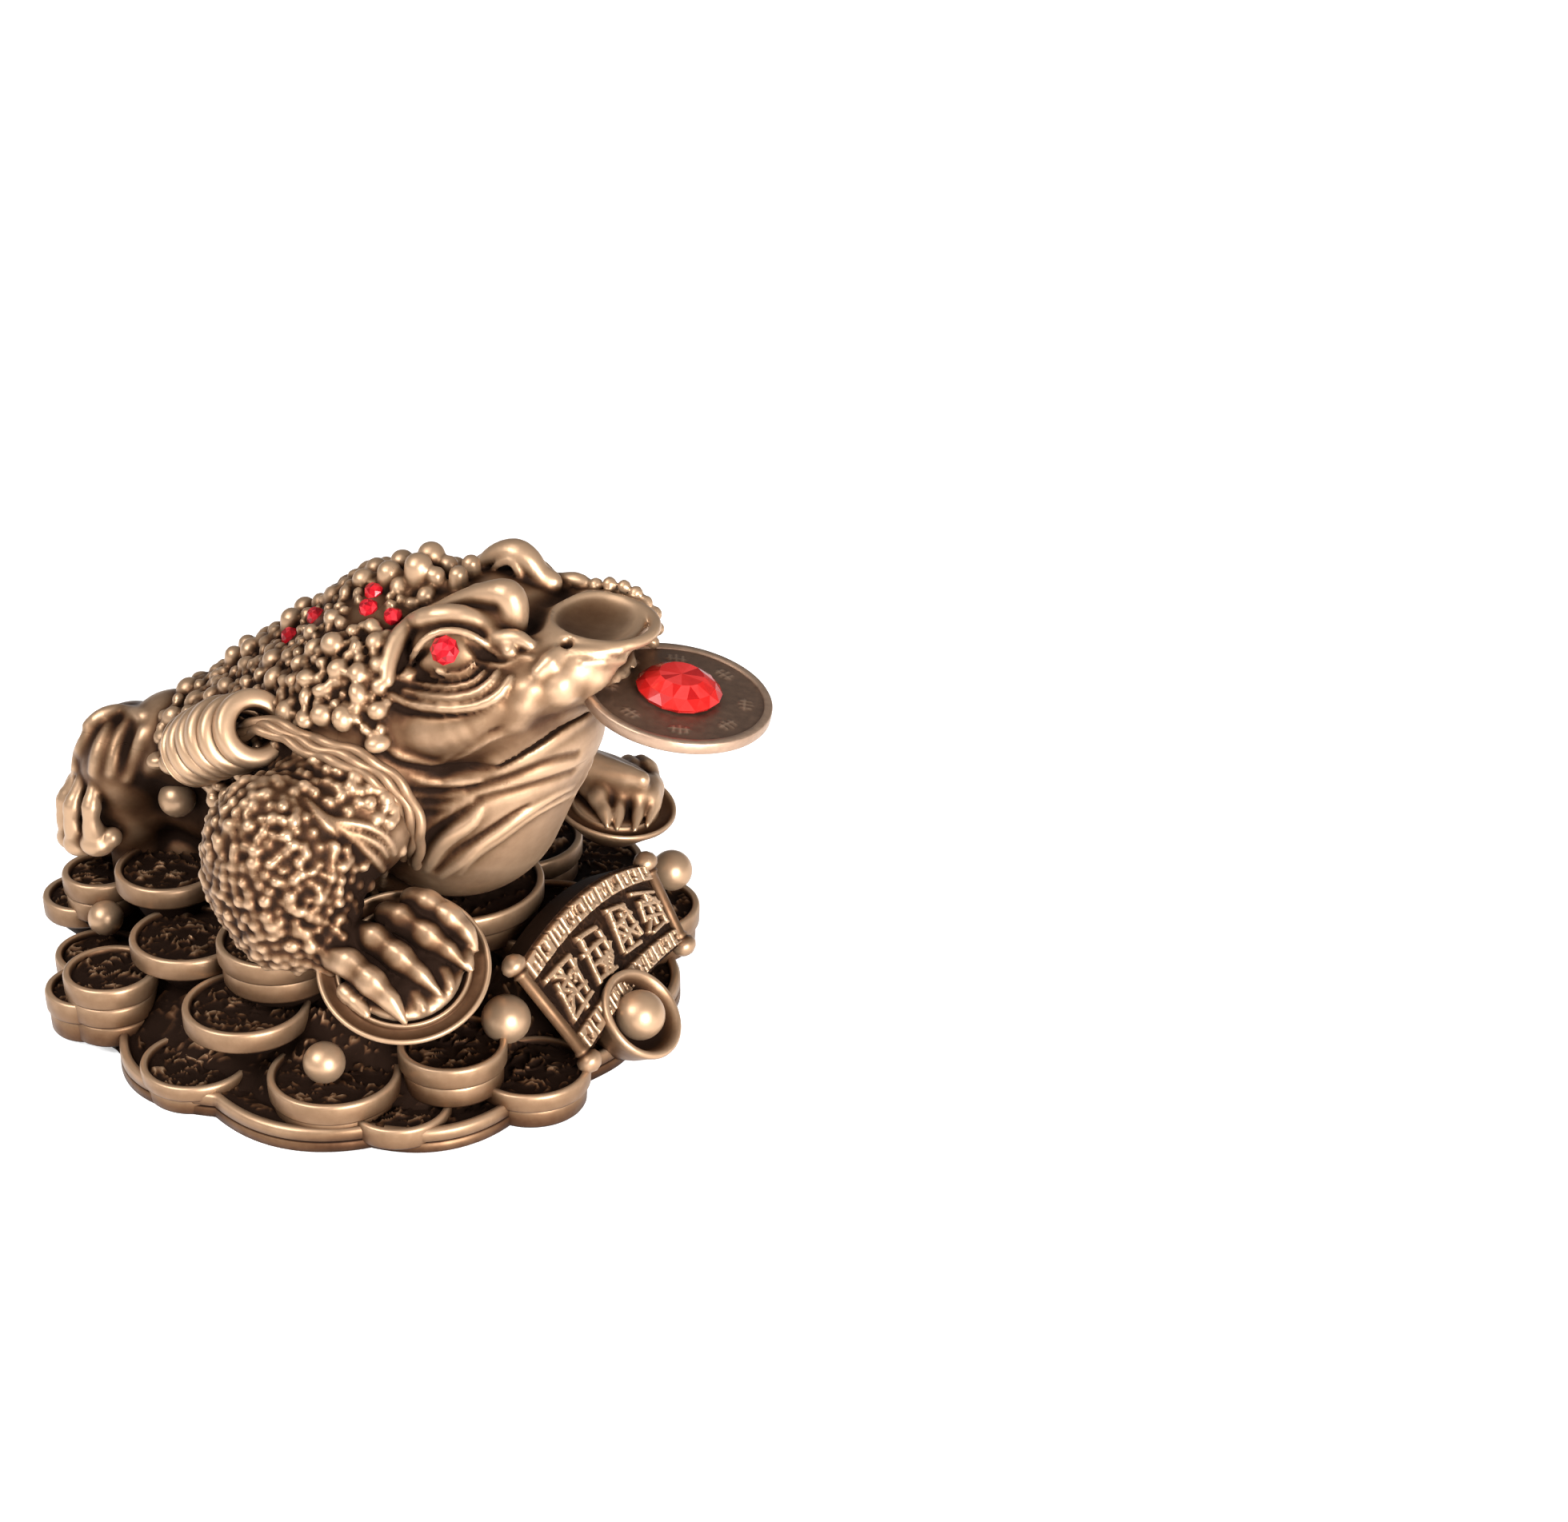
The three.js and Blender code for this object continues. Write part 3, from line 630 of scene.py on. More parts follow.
# Round the eye, in the photo's pixels: the corners' grooves, with their radii, the groove under it,
# and the lids and wrinkles, each with its radius, its fillet and its height off the skin
EYE_CORNERS = [
    ([(508, 838), (520, 822), (535, 812)], 0.7),
    ([(584, 804), (596, 815), (608, 829)], 0.5),
]
UNDER_EYE = [(478, 872), (500, 886), (535, 893), (570, 892), (600, 886), (625, 872), (640, 852)]
UPPER_LID = [
    (484, 852), (487, 828), (497, 803), (516, 786), (541, 776), (571, 774), (600, 783), (620, 799),
    (640, 818),
]
INNER_LID = [
    (507, 842), (518, 818), (536, 799), (557, 791), (580, 793), (600, 803), (617, 817), (640, 822),
]
EYE_LINES = [
    (UPPER_LID, 1.4, 0.3, 0.6),
    (INNER_LID, 0.5, 0.15, 0.5),
    ([(500, 848), (511, 845), (521, 840)], 0.8, 0.3, 0.1),
    ([(546, 838), (562, 842), (580, 839), (592, 828)], 0.35, 0.1, 0.3),
    ([(541, 845), (562, 850), (585, 846), (598, 834)], 0.38, 0.1, 0.2),
    ([(510, 853), (540, 859), (567, 860), (592, 854), (606, 841)], 0.5, 0.15, 0.2),
    ([(506, 864), (535, 871), (567, 873), (596, 867), (614, 854), (622, 842)], 0.8, 0.2, 0.0),
    ([(488, 868), (515, 881), (560, 886), (598, 882), (624, 868), (638, 848)], 0.7, 0.2, 0.0),
    ([(600, 828), (616, 832), (634, 832), (650, 824)], 0.35, 0.4, 0.1),
    ([(640, 812), (652, 820), (664, 822)], 0.35, 0.4, 0.0),
]


def add_eyes(clay):
    """Eyeballs, heavy upper lids, thin inner lids and the rings of wrinkles under them."""
    for side in SIDES:
        clay.add(egg(EYE_MIDDLE * (1, side, 1), (5.6, 4.4, 4.6)), 0.6)
    for pixels, radius in EYE_CORNERS:
        ropes(clay, clay.drawn(pixels, 8), radius, 0.4, cut=True)
    lines = [clay.drawn(line[0], 2 * len(line[0])) for line in EYE_LINES]
    under = clay.drawn(UNDER_EYE, 14)
    ropes(clay, under, 0.4, 0.3, cut=True)
    for points, (_, radius, fillet, lift) in zip(lines, EYE_LINES):
        points = points + clay.slope(points) * lift
        ropes(clay, points, radius, fillet, 0.5)


# The brows in the photo's pixels, with each outer one's radii at shares of its length
NEAR_BROW = [
    (538, 763), (563, 753), (588, 746), (612, 742), (634, 743), (642, 760), (641, 782), (639, 800),
]
NEAR_BROW_RADII = ((0, 0.3, 0.55, 0.65, 0.9, 1), (0.5, 1.3, 1.9, 2.0, 1.8, 0.9))
FAR_BROW = [
    (594, 728), (604, 706), (619, 694), (638, 690), (655, 696), (668, 710), (677, 731), (685, 754),
]
FAR_BROW_RADII = ((0, 0.25, 0.5, 0.7, 1), (0.7, 1.3, 1.9, 1.6, 0.7))
INNER_BROW = [(612, 716), (624, 705), (638, 701), (647, 712), (655, 731), (668, 747), (682, 758)]
FAR_LID = [(672, 738), (700, 727), (722, 726), (738, 734)]
FAR_EYE_BEADS = [(684, 744), (694, 738), (706, 737), (716, 742), (700, 747), (690, 752)]


def add_brows(clay):
    """A curled brow over each eye, that rises from behind and turns over in a knob in front."""
    outer = ((NEAR_BROW, -5.8, NEAR_BROW_RADII), (FAR_BROW, 5.8, FAR_BROW_RADII))
    for pixels, left, radii in outer:
        clay.add(rope(curve(VIEW.beside(pixels, left), 22), values_along(22, *radii)), 0.5)
    inner = VIEW.beside(curve(INNER_BROW, 14), 4.2)
    ropes(clay, mirrored(inner, LEFT), 0.6, 0.25)
    lid = curve(VIEW.beside(FAR_LID, 9), 9)
    ropes(clay, mirrored(lid, LEFT), 1.1, 0.6, 0.5)
    for place in VIEW.beside(FAR_EYE_BEADS, 7.6):
        clay.add(ball(place, 0.75), 0.15)
    for side in SIDES:
        clay.add(egg((23.6, 6.3 * side, 61.4), (4.6, 2.0, 2.3), 8), 0.8)


# The snout: the rolled rim of its dished top, the groove over the lip, and in the photo's pixels
# the wing of the nose, the nostril, the streaks before it, the bumps under it with their radii,
# the cushion of the cheek and the beads on the far side
SNOUT_RIM, SNOUT_RADIUS = np.array((36.9, 0, 60.5)), 6.4
LIP_GROOVE = np.array(
    [(38.6, -8, 52.6), (39.9, -6, 54.3), (41.0, -4, 55.5), (42.2, -2, 56.5), (43.0, 0, 56.9)]
)
NOSE_WING = [(674, 838), (688, 826), (700, 814)]
NOSTRIL = (708, 804)
STREAKS = [[(716, 813), (745, 815), (776, 815)], [(728, 828), (755, 828), (780, 826)]]
NOSE_BUMPS = [
    ([(626, 864), (617, 880), (606, 894)], 1.3),
    ([(659, 862), (655, 884), (648, 906)], 1.2),
    ([(703, 860), (707, 870)], 1.7),
]
CHEEK = [(494, 918), (520, 920), (552, 918), (590, 908)]
FAR_BEADS = [
    (745, 731), (762, 730), (780, 733), (795, 741), (808, 753), (817, 768), (821, 786), (816, 803),
]


def add_snout_top(clay):
    """The dished top of the snout in its rolled rim, and the groove over the lip."""
    clay.cut(rope([(29.2, -5.5, 62.0), (28.4, 0, 63), (29.2, 5.5, 62.0)], 1.7), 1.2)
    turns = np.linspace(0, 2 * math.pi, 33)
    circle = np.stack((np.cos(turns), np.sin(turns), -0.05 * np.cos(turns)), axis=1)
    ropes(clay, LIP_GROOVE, (1.1, 1.5, 1.8, 2.0, 2.0), 0.5, cut=True)
    clay.add(rope(SNOUT_RIM + SNOUT_RADIUS * circle, 0.75), 0.7)
    wide, wider = SNOUT_RADIUS + 0.5, SNOUT_RADIUS + 0.8
    clay.cut(egg(SNOUT_RIM + (0, 0, 2.6), (wide, wide, 3.6)), 0.2)
    clay.cut(egg(SNOUT_RIM + (0.2, 0, 5.6), (wider, wide, 4.5)), 0.2)


def add_snout(clay):
    """The snout's top, the nostrils, the ridges and the beads beside it."""
    add_snout_top(clay)
    wing, nostril = clay.seen(NOSE_WING), clay.seen([NOSTRIL])[0]
    streaks = [clay.seen(pixels) for pixels in STREAKS]
    ropes(clay, wing - (0, 0, 0.2), 1.3, 0.7, 0.5)
    for streak in streaks:
        ropes(clay, streak, 0.55, 0.6, 0.5)
    for side in SIDES:
        clay.cut(egg(mirrored(nostril, side), (0.8, 1.0, 1.3)), 0.3)
    for pixels, radius in NOSE_BUMPS:
        bump = clay.settled(clay.seen(pixels), -0.9)
        ropes(clay, bump, radius, 1.8, 0.5)
    cushion = clay.settled(clay.drawn(CHEEK, 9), -1.7)
    ropes(clay, cushion, 2.6, 1.6, 0.45)
    for place in VIEW.beside(FAR_BEADS, 8.6):
        clay.add(ball(place, rng.uniform(0.85, 1.15)), 0.2)


# Folds of skin in the photo's pixels, each with its radius and its fillet
SKIN_GROOVES = [
    ([(470, 918), (484, 944), (510, 957), (548, 961), (590, 962), (616, 962)], 0.32, 0.3),
    ([(552, 952), (575, 936), (605, 918), (630, 908)], 0.35, 0.3),
    ([(545, 1090), (572, 1064), (600, 1047), (640, 1020), (660, 1008)], 0.4, 0.6),
    ([(524, 1076), (534, 1050), (556, 1030), (598, 1004)], 0.55, 0.5),
    ([(585, 988), (640, 972), (690, 952), (722, 944)], 0.3, 1.2),
    ([(600, 1000), (650, 988), (690, 975), (716, 966)], 0.25, 1.2),
    ([(560, 957), (590, 956), (618, 958)], 0.3, 0.3),
    ([(506, 984), (530, 989), (560, 988), (600, 980)], 0.28, 0.3),
    ([(512, 998), (540, 1003), (575, 999)], 0.28, 0.3),
    ([(514, 1012), (534, 1017), (560, 1014)], 0.28, 0.3),
]
THROAT_FOLD = [
    (552, 1096), (576, 1080), (600, 1058), (626, 1040), (652, 1021), (690, 997), (716, 985),
]
SKIN_RIDGES = [
    ([(480, 930), (496, 943), (518, 948), (548, 952), (570, 936), (606, 916)], 0.65, 0.3),
    ([(562, 952), (586, 940), (610, 926), (632, 918)], 0.4, 0.25),
    ([(516, 972), (545, 978), (600, 976)], 0.7, 0.5),
    ([(534, 1088), (548, 1062), (563, 1046), (588, 1030), (601, 1014)], 1.1, 0.4),
    (THROAT_FOLD, 0.7, 0.4),
    ([(574, 1092), (600, 1067), (630, 1046), (665, 1020), (700, 1001), (719, 992)], 0.5, 0.4),
]
ARM_FOLDS = [
    [(382, 998), (398, 1015), (414, 1026), (440, 1029), (467, 1036), (484, 1049), (494, 1068)],
    [(408, 1028), (430, 1038), (455, 1046), (474, 1057), (484, 1072)],
    [(432, 1044), (446, 1052), (457, 1062), (470, 1076), (480, 1092), (478, 1108)],
    [(392, 1013), (406, 1030), (424, 1046)],
]


def add_folds(clay):
    """Folds of skin under the cheek, on the throat and on the neck."""
    for lines, cut, sink in ((SKIN_GROOVES, True, 0.1), (SKIN_RIDGES, False, 0.25)):
        for pixels, radius, fillet in lines:
            points = clay.drawn(pixels, 2 * len(pixels))
            points = points - clay.slope(points) * radius * sink
            ropes(clay, points, radius, fillet, cut=cut)


def on_arm(points, side):
    """Points of the near arm moved to where the arm of a side has them."""
    ahead = ARM_AHEAD[side] - ARM_AHEAD[RIGHT]
    return mirrored(points, side) + (ahead, 0, ahead / 2)


def add_arm_folds(clay):
    """Smooth folds that cross each beaded arm; returns the points that the beads keep clear of."""
    clear = []
    for pixels in ARM_FOLDS:
        near = clay.drawn(pixels, 12)
        for side in SIDES:
            clear.append(on_arm(near, side))
            clay.add(rope(clear[-1], tapered(12, 0.62)), 0.2)
    return np.concatenate(clear)


# The tall warts of the crest: a pixel of the photo, and a radius
CREST_WARTS = [
    (255, 854, 1.2), (293, 819, 1.35), (330, 803, 1.4), (365, 774, 1.6), (402, 788, 1.4),
    (420, 747, 1.7), (455, 725, 1.6), (487, 716, 1.7), (523, 708, 1.9), (505, 724, 1.2),
    (545, 720, 1.3), (573, 719, 1.3), (345, 790, 1.0), (438, 742, 1.1), (385, 768, 1.0),
    (310, 812, 0.9), (535, 735, 1.2), (560, 735, 1.0),
]


def scattered(points, pitch, wanted):
    """Some of many points, picked at random, a pitch or more apart."""
    points = points[wanted(points)]
    points = points[rng.permutation(len(points))]
    kept = np.zeros((0, 3))
    for point in points:
        if len(kept) == 0 or ((kept - point) ** 2).sum(axis=1).min() > pitch * pitch:
            kept = np.vstack((kept, point))
    return kept


BEAD_REACH = 0.9  # how far off an arm's forms the ground of its beads may lie


def on_arms(points):
    """Which points lie where the arms have beads."""
    x, y, z = points.T
    on = np.zeros(len(points), bool)
    for side in SIDES:
        ahead = ARM_AHEAD[side]
        upper, shoulder, fore = (form.distance(x, y, z) < BEAD_REACH for form in arm_forms(side))
        top = shoulder & (y * side > 16) & (z > 34)
        on |= ((upper | fore) & (x < 14.5 + ahead)) | (top & (x < 17.5 + ahead))
    return on


def on_back(points):
    """Which points lie where the back has warts: high on it, clear of the eyes and the hollows."""
    x, y, z = points.T
    crest = np.interp(x, (-30, 12), (36, 62))
    inside = (z < 33) & (np.abs(y) < 12)
    for side in SIDES:
        inside |= ((points - mirrored(EYE_MIDDLE, side)) ** 2).sum(axis=1) < EYE_CLEAR**2
    return (x < 14.5) & (x > -22) & (z > crest - 15) & (np.abs(y) < 19) & ~inside


# Each kind of bead: where it lies, pitch, least and greatest radius, height off the skin, fillet,
# how steeply its ground may face down, and how far it keeps from the stones
BEADS = [
    (on_back, 2.5, 1.0, 1.5, 0.2, 0.15, -0.1, 2.3),
    (on_back, 1.4, 0.5, 0.9, 0.12, 0.15, -0.1, 1.8),
    (on_arms, 1.15, 0.62, 0.98, -0.15, 0.3, -0.8, 1.8),
]


def add_crest(clay):
    """Tall warts along the crest of the back, and the mounts of the stones there."""
    for column, row, radius in CREST_WARTS:
        place = VIEW.beside([(column, row)], -2.0)[0]
        for share in (1, -0.8):
            top = place * (1, share, 1)
            clay.add(limb(top - (0, 0, 5), top, radius * 1.15, radius * 0.95), 0.4)
    for place, facing, radius in BACK_STONES:
        clay.add(ball(place - facing * (radius * 0.95), radius * 1.1), 0.4)


def add_beads(clay, surface, clear):
    """Beads scattered on the arms and the back, clear of the folds, the cords and the stones."""
    gaps = (0, 1.7, 3.4)  # towards the camera, so that no bead hides a stone
    stones = np.array([seat[0] - VIEW.forward * gap for seat in BACK_STONES for gap in gaps])
    taken = np.zeros((0, 3))
    for wanted, pitch, least, most, lift, fillet, steepest, stone_gap in BEADS:
        places = clay.settled(scattered(surface, pitch, wanted))
        places = places[clay.slope(places)[:, 2] > steepest]
        for others, gap in ((taken, pitch * 0.8), (clear, 1.3), (stones, stone_gap)):
            if len(others):
                away = ((places[:, None] - others[None]) ** 2).sum(axis=2).min(axis=1)
                places = places[np.sqrt(away) > gap]
        taken = np.vstack((taken, places))
        for place, out in zip(places, clay.slope(places)):
            radius = rng.uniform(least, most)
            radii = radius * rng.uniform(0.8, 1.3, 3)
            bead = egg(place + out * lift, radii, rng.uniform(-40, 40), rng.uniform(0, 180))
            clay.add(bead, fillet)


# The strings of coins on the back: the way each runs, rear to front, and the middle of its front
STRING_AXIS = {side: unit((0.84, 0.2 * side, 0.5)) for side in SIDES}
STRING_FRONT = {side: np.array((-2.3, 19.9 * side, 48.1)) for side in SIDES}
# The near cord in the photo's pixels, from its string over the shoulder and down the neck
NEAR_CORD = [
    (392, 934), (418, 942), (444, 952), (470, 968), (491, 988), (506, 1013), (513, 1042),
    (514, 1072),
]


def cord_paths(clay):
    """Each cord's path, from its string's hole over the shoulder and down, lying on the clay."""
    near = clay.seen(NEAR_CORD)
    paths = {}
    for side, ahead in ((RIGHT, 0), (LEFT, 3)):
        front, axis = STRING_FRONT[side], STRING_AXIS[side]
        lying = clay.settled(mirrored(near, side) + (ahead, 0, ahead / 2), 0.45)
        out = front + axis * 0.9
        start = [front - axis * 3, out, lerp(out, lying[0], 0.5) + (0, 0, 0.4)]
        paths[side] = curve(np.vstack((start, lying)), 160)
    return paths


def toad_clay(low, high, step):
    """The toad's main forms."""
    clay = Clay(low, high, step)
    add_body(clay)
    add_head(clay)
    add_arms(clay)
    return clay


def detail(clay, surface):
    """Everything that is carved on the toad; returns the paths of the cords over it."""
    add_toes(clay)
    add_mouth(clay)
    add_folds(clay)
    add_snout(clay)
    add_eyes(clay)
    add_brows(clay)
    cords = cord_paths(clay)
    clear = np.vstack([add_arm_folds(clay)] + [cords[side][::3] for side in SIDES])
    add_crest(clay)
    add_beads(clay, surface, clear)
    for side in SIDES:
        add_hand(clay, side)
    return cords


# Turned and swept meshes


def grid_faces(rows, columns, closed=True):
    """The four-sided faces of a grid of points, closed on itself along its rows or not."""
    row, column = np.indices((rows - 1, columns if closed else columns - 1)).reshape(2, -1)
    beside = (column + 1) % columns
    here, there = row * columns, (row + 1) * columns
    return np.stack((here + column, here + beside, there + beside, there + column), axis=1)


def circle(count):
    """Angles evenly round a circle."""
    return np.linspace(0, 2 * math.pi, count, endpoint=False)


def turned(profile, sides, place, direction=(0, 0, 1)):
    """The points and faces of a surface turned from rows of radius and height."""
    direction = unit(direction)
    level, steep = across_to(direction)
    angles = circle(sides)[:, None]
    spokes = np.cos(angles) * level + np.sin(angles) * steep
    rings = [row[0] * spokes + row[1] * direction + place for row in profile]
    return np.concatenate(rings), grid_faces(len(profile), sides)


def swept(path, radius, sides):
    """A round tube along a path."""
    along = unit(np.gradient(path, axis=0))
    side = np.cross(along[0], (0.3, 0.1, 1))
    angles = circle(sides)[:, None]
    rings = []
    for point, ahead in zip(path, along):
        side = unit(side - ahead * (side @ ahead))
        up = np.cross(ahead, side)
        rings.append(point + radius * (np.cos(angles) * side + np.sin(angles) * up))
    return np.concatenate(rings), grid_faces(len(path), sides)


class Heap:
    """Meshes gathered as one piece, each point with its darkness from patina and painted shade, for
    the paint.
    """

    def __init__(self):
        self.points, self.faces, self.hollow = [], [], []
        self.count = 0

    def put(self, points, faces, hollow):
        self.points.append(points)
        self.faces.append(faces + self.count)
        self.hollow.append(np.broadcast_to(hollow, (len(points),)))
        self.count += len(points)

    def turn(self, profile, sides, place, direction=(0, 0, 1)):
        """Puts a surface turned from rows of radius, height and darkness from patina and painted
        shade.
        """
        points, faces = turned(profile, sides, place, direction)
        self.put(points, faces, np.repeat([row[2] for row in profile], sides))

    def gathered(self):
        return [np.concatenate(parts) for parts in (self.points, self.faces, self.hollow)]


WAVES = rng.normal(size=(14, 2))
WAVES *= (2 * math.pi / rng.uniform(1.7, 3.2, 14) / np.linalg.norm(WAVES, axis=1))[:, None]
WAVE_STARTS = rng.uniform(0, 2 * math.pi, 14)


def crumbs(x, y):
    """The height of small winding ridges, from 0 to 1, broken up at random."""
    phases = x[..., None] * WAVES[:, 0] + y[..., None] * WAVES[:, 1] + WAVE_STARTS
    swell = np.sin(phases).sum(axis=-1) / math.sqrt(7)
    broken = np.sin(phases[..., :5] * 0.61 + 1).sum(axis=-1)
    return np.exp(-((swell / 0.46) ** 2)) * np.clip(0.65 + 0.45 * broken, 0, 1)


COIN_THICKNESS = 3
COIN_RIM = 0.9
COIN_RELIEF = 0.8
COIN_STEP = 0.15  # how much narrower the lowest coin of a high stack is, as a share
STACK_LEAN = 0.75  # how far a raised stack's support leans in to the pile, as a share of its radius
STACK_SIDES, FACE_SIDES, FACE_RINGS = 96, 84, 26


def stack_side(radius, top, count):
    """A stack's side, from its foot to its inner rim, as radius, height and darkness, with painted
    shade at the foot and under each coin.
    """
    depth = min(count * COIN_THICKNESS, top)
    # The foot and the lower edge of each coin are painted darker as shade under the coins; the
    # rounded edges are lighter as rubbed paint
    if top - depth > 1.5:
        rows = [(0.2, 2 - top, 0.3), (radius * 0.45, 2 - top, 0.3)]
        rows += [(radius * 0.8, -depth - 0.4, 0.25)]
    else:
        rows = [(0.2, 0.1 - top, 0.3), (radius * 0.8, 0.1 - top, 0.2)]
    for i in range(count, 0, -1):
        r = radius - COIN_STEP * radius * (i - 1) / count
        low, high = -i * depth / count, (1 - i) * depth / count
        rows += [
            (r - 0.75, low + 0.02, 0.3), (r - 0.25, low + 0.12, 0.1), (r - 0.08, low + 0.4, 0.0),
            (r - 0.02, (low + high) / 2, 0.0), (r, high - 0.45, -0.03),
            (r - 0.12, high - 0.12, -0.1),
        ]
    inner = radius - COIN_RIM
    return rows + [
        (radius - 0.3, 0, -0.14), (inner + 0.1, -0.02, -0.1), (inner - 0.08, -0.2, 0.06),
        (inner - 0.22, -COIN_RELIEF, 0.26),
    ]


def coin_face(heap, place, radius):
    """The sunk dark face of a coin, with small winding ridges."""
    x, y, top = place
    edge = radius - 0.22
    rows = [(edge * (1 - i / FACE_RINGS), -COIN_RELIEF) for i in range(FACE_RINGS)]
    points, faces = turned(rows + [(0.01, -COIN_RELIEF)], FACE_SIDES, place)
    away = np.hypot(points[:, 0] - x, points[:, 1] - y)
    ridge = crumbs(points[:, 0] + 3 * top, points[:, 1] - 2 * top)
    ridge *= np.clip((radius - away) / 0.8, 0, 1)
    points[:, 2] += 0.62 * ridge
    heap.put(points, faces, 0.28 - 0.38 * ridge)


def coin_stack(heap, place, radius, count):
    """Coins on each other. Where they are raised, a support leans in to the pile under them."""
    x, y, top = place
    rows = stack_side(radius, top, count)
    points, faces = turned(rows, STACK_SIDES, place)
    foot = top - min(count * COIN_THICKNESS, top)
    inward = unit((FOOT_AHEAD - x, -y, 0)) * radius * STACK_LEAN
    points += inward * np.clip((foot - points[:, 2:]) / max(foot - 2, 1), 0, 1)
    heap.put(points, faces, np.repeat([row[2] for row in rows], STACK_SIDES))
    coin_face(heap, place, radius - COIN_RIM)


# The pile's coins: middle X, middle Y, height of the top, diameter, coins in the stack
PILE_COINS = [
    (-39, -7.5, 10, 11, 1), (-35.5, -8, 14.5, 10.5, 2), (-28.2, -24.2, 7, 11.6, 2),
    (-24.6, -24.3, 10.3, 12.4, 3), (-31.5, -16, 7, 12, 2), (-23, -10.5, 19, 14.5, 1),
    (-15.5, -19, 14.8, 15.5, 1), (-8, -31.5, 4.4, 14.5, 2), (-2.4, -27.4, 12, 16.5, 1),
    (-0.5, -21.5, 19, 16, 2), (11.9, -31, 7, 17, 2), (20.9, -30.5, 4, 13, 1),
    (25, -23.5, 10, 14, 2), (33.5, -18, 5.2, 15, 2), (16, -19, 16, 17, 2), (15, -1, 20, 23, 2),
    (26, 3, 15, 18, 2), (-36, 3, 12, 13, 2), (32, 20, 8.6, 16, 2), (20, 27, 9.5, 17, 2),
    (3, 30.5, 7, 18, 2), (14, 19, 16, 18, 2), (-7, 20, 17, 19, 2), (-14, 29, 8, 17, 2),
    (-27, 21, 11.4, 16, 3), (-23, 10, 19, 16, 2),
]
# Middle and radius
PEARLS = [
    (29.7, -17.4, 11, 3.2), (34.9, 24, 12.2, 2.8), (11.1, -31.9, 8.6, 2.7),
    (-32.1, -13, 10.2, 2.4), (-30, 17.5, 12, 2.6), (-22.4, -8, 27.9, 2.5),
]
FOOT_RADIUS = 40
FOOT_AHEAD = 3
FOOT_HEIGHT = 3.4
FOOT_LOBES = 11
FOOT_FRONT = math.radians(299)
FOOT_SIDES = 440
FOOT_FLOOR = 2.7  # the height of the sunk top


def foot_outline(angles):
    """The radius of the scalloped foot: fuller where it faces the camera, drawn in beside that."""
    bulge = np.abs(np.sin(angles * FOOT_LOBES / 2))
    ahead = (angles - FOOT_FRONT + math.pi) % (2 * math.pi) - math.pi
    full = 2.2 * np.exp(-((ahead / 0.33) ** 2)) - 2.6 * np.exp(-(((ahead - 0.72) / 0.22) ** 2))
    return FOOT_RADIUS - 2.6 * (1 - bulge) + full


def foot_rings(radii, heights):
    """Rings of points round the foot, each with its radii and its height."""
    angles = circle(FOOT_SIDES)
    level = np.stack((np.cos(angles), np.sin(angles), 0 * angles), axis=1)
    rings = [r[:, None] * level + (FOOT_AHEAD, 0, height) for r, height in zip(radii, heights)]
    return np.concatenate(rings), grid_faces(len(rings), FOOT_SIDES)


def foot(heap):
    """The scalloped lowest layer, two thin coins high, with a sunk dark top."""
    outline = foot_outline(circle(FOOT_SIDES))
    insets = [0.3 - outline, -0.5, 0, 0, -0.35, 0, 0, -0.3, -1.1, -1.5]
    heights = [0.02, 0.02, 0.25, 1.5, 1.68, 1.86, 3.0, FOOT_HEIGHT, FOOT_HEIGHT, FOOT_FLOOR]
    hollow = [0.2, 0.2, 0.05, 0, 0.3, 0.02, -0.05, -0.13, -0.08, 0.28]
    points, faces = foot_rings([outline + inset for inset in insets], heights)
    heap.put(points, faces, np.repeat(hollow, FOOT_SIDES))
    rows = np.arange(34)
    radii = [outline - 1.5 - 14 * row / rows[-1] for row in rows]
    points, faces = foot_rings(radii, FOOT_FLOOR + 0.35 * np.maximum(rows - 8, 0))
    ridge = crumbs(points[:, 0], points[:, 1])
    points[:, 2] += 0.6 * ridge
    heap.put(points, faces, 0.28 - 0.36 * ridge)


def core(heap):
    """The dark heap under the coins, with the same small ridges."""
    slope = np.array([(0.05, 20), (12, 19), (20, 14), (27, 9), (32, 4.4), (36, 1)])
    radii = np.linspace(slope[-1, 0], slope[0, 0], 90)
    rows = np.stack((radii, np.interp(radii, *slope.T)), axis=1)
    points, faces = turned(rows, 260, (0, 0, 0))
    ridge = crumbs(points[:, 0], points[:, 1])
    points[:, 2] += 0.6 * ridge - 0.3
    heap.put(points, faces, 0.3 - 0.26 * ridge)


def pearl(heap, place, radius):
    """A bright ball with painted shade underneath."""
    angles = np.linspace(-math.pi / 2, math.pi / 2, 25)
    across, up = np.cos(angles), np.sin(angles)
    # Painted shade on the underside
    hollow = -0.4 + 0.5 * np.clip(-up - 0.35, 0, 1)
    heap.turn(np.stack((radius * across + 1e-3, radius * up, hollow), axis=1), 40, place)


# A dish's edge, from under it over both rims to its floor: radius over the dish's own, height and
# hollowness
DISH_EDGE = [
    (-4, -3.9, 0.1), (-1, -0.9, 0.0), (-0.2, -0.2, -0.02), (0, 0.2, -0.04), (-0.05, 0.55, -0.12),
    (-0.25, 0.72, -0.16), (-0.5, 0.6, -0.1), (-0.75, 0.2, 0.04), (-1.2, 0.0, 0.07),
    (-2.0, -0.15, 0.07), (-2.25, 0.0, 0.1), (-2.35, 0.4, -0.06), (-2.55, 0.58, -0.18),
    (-2.8, 0.4, -0.1), (-3.1, -0.3, 0.2), (-5, -0.9, 0.26),
]
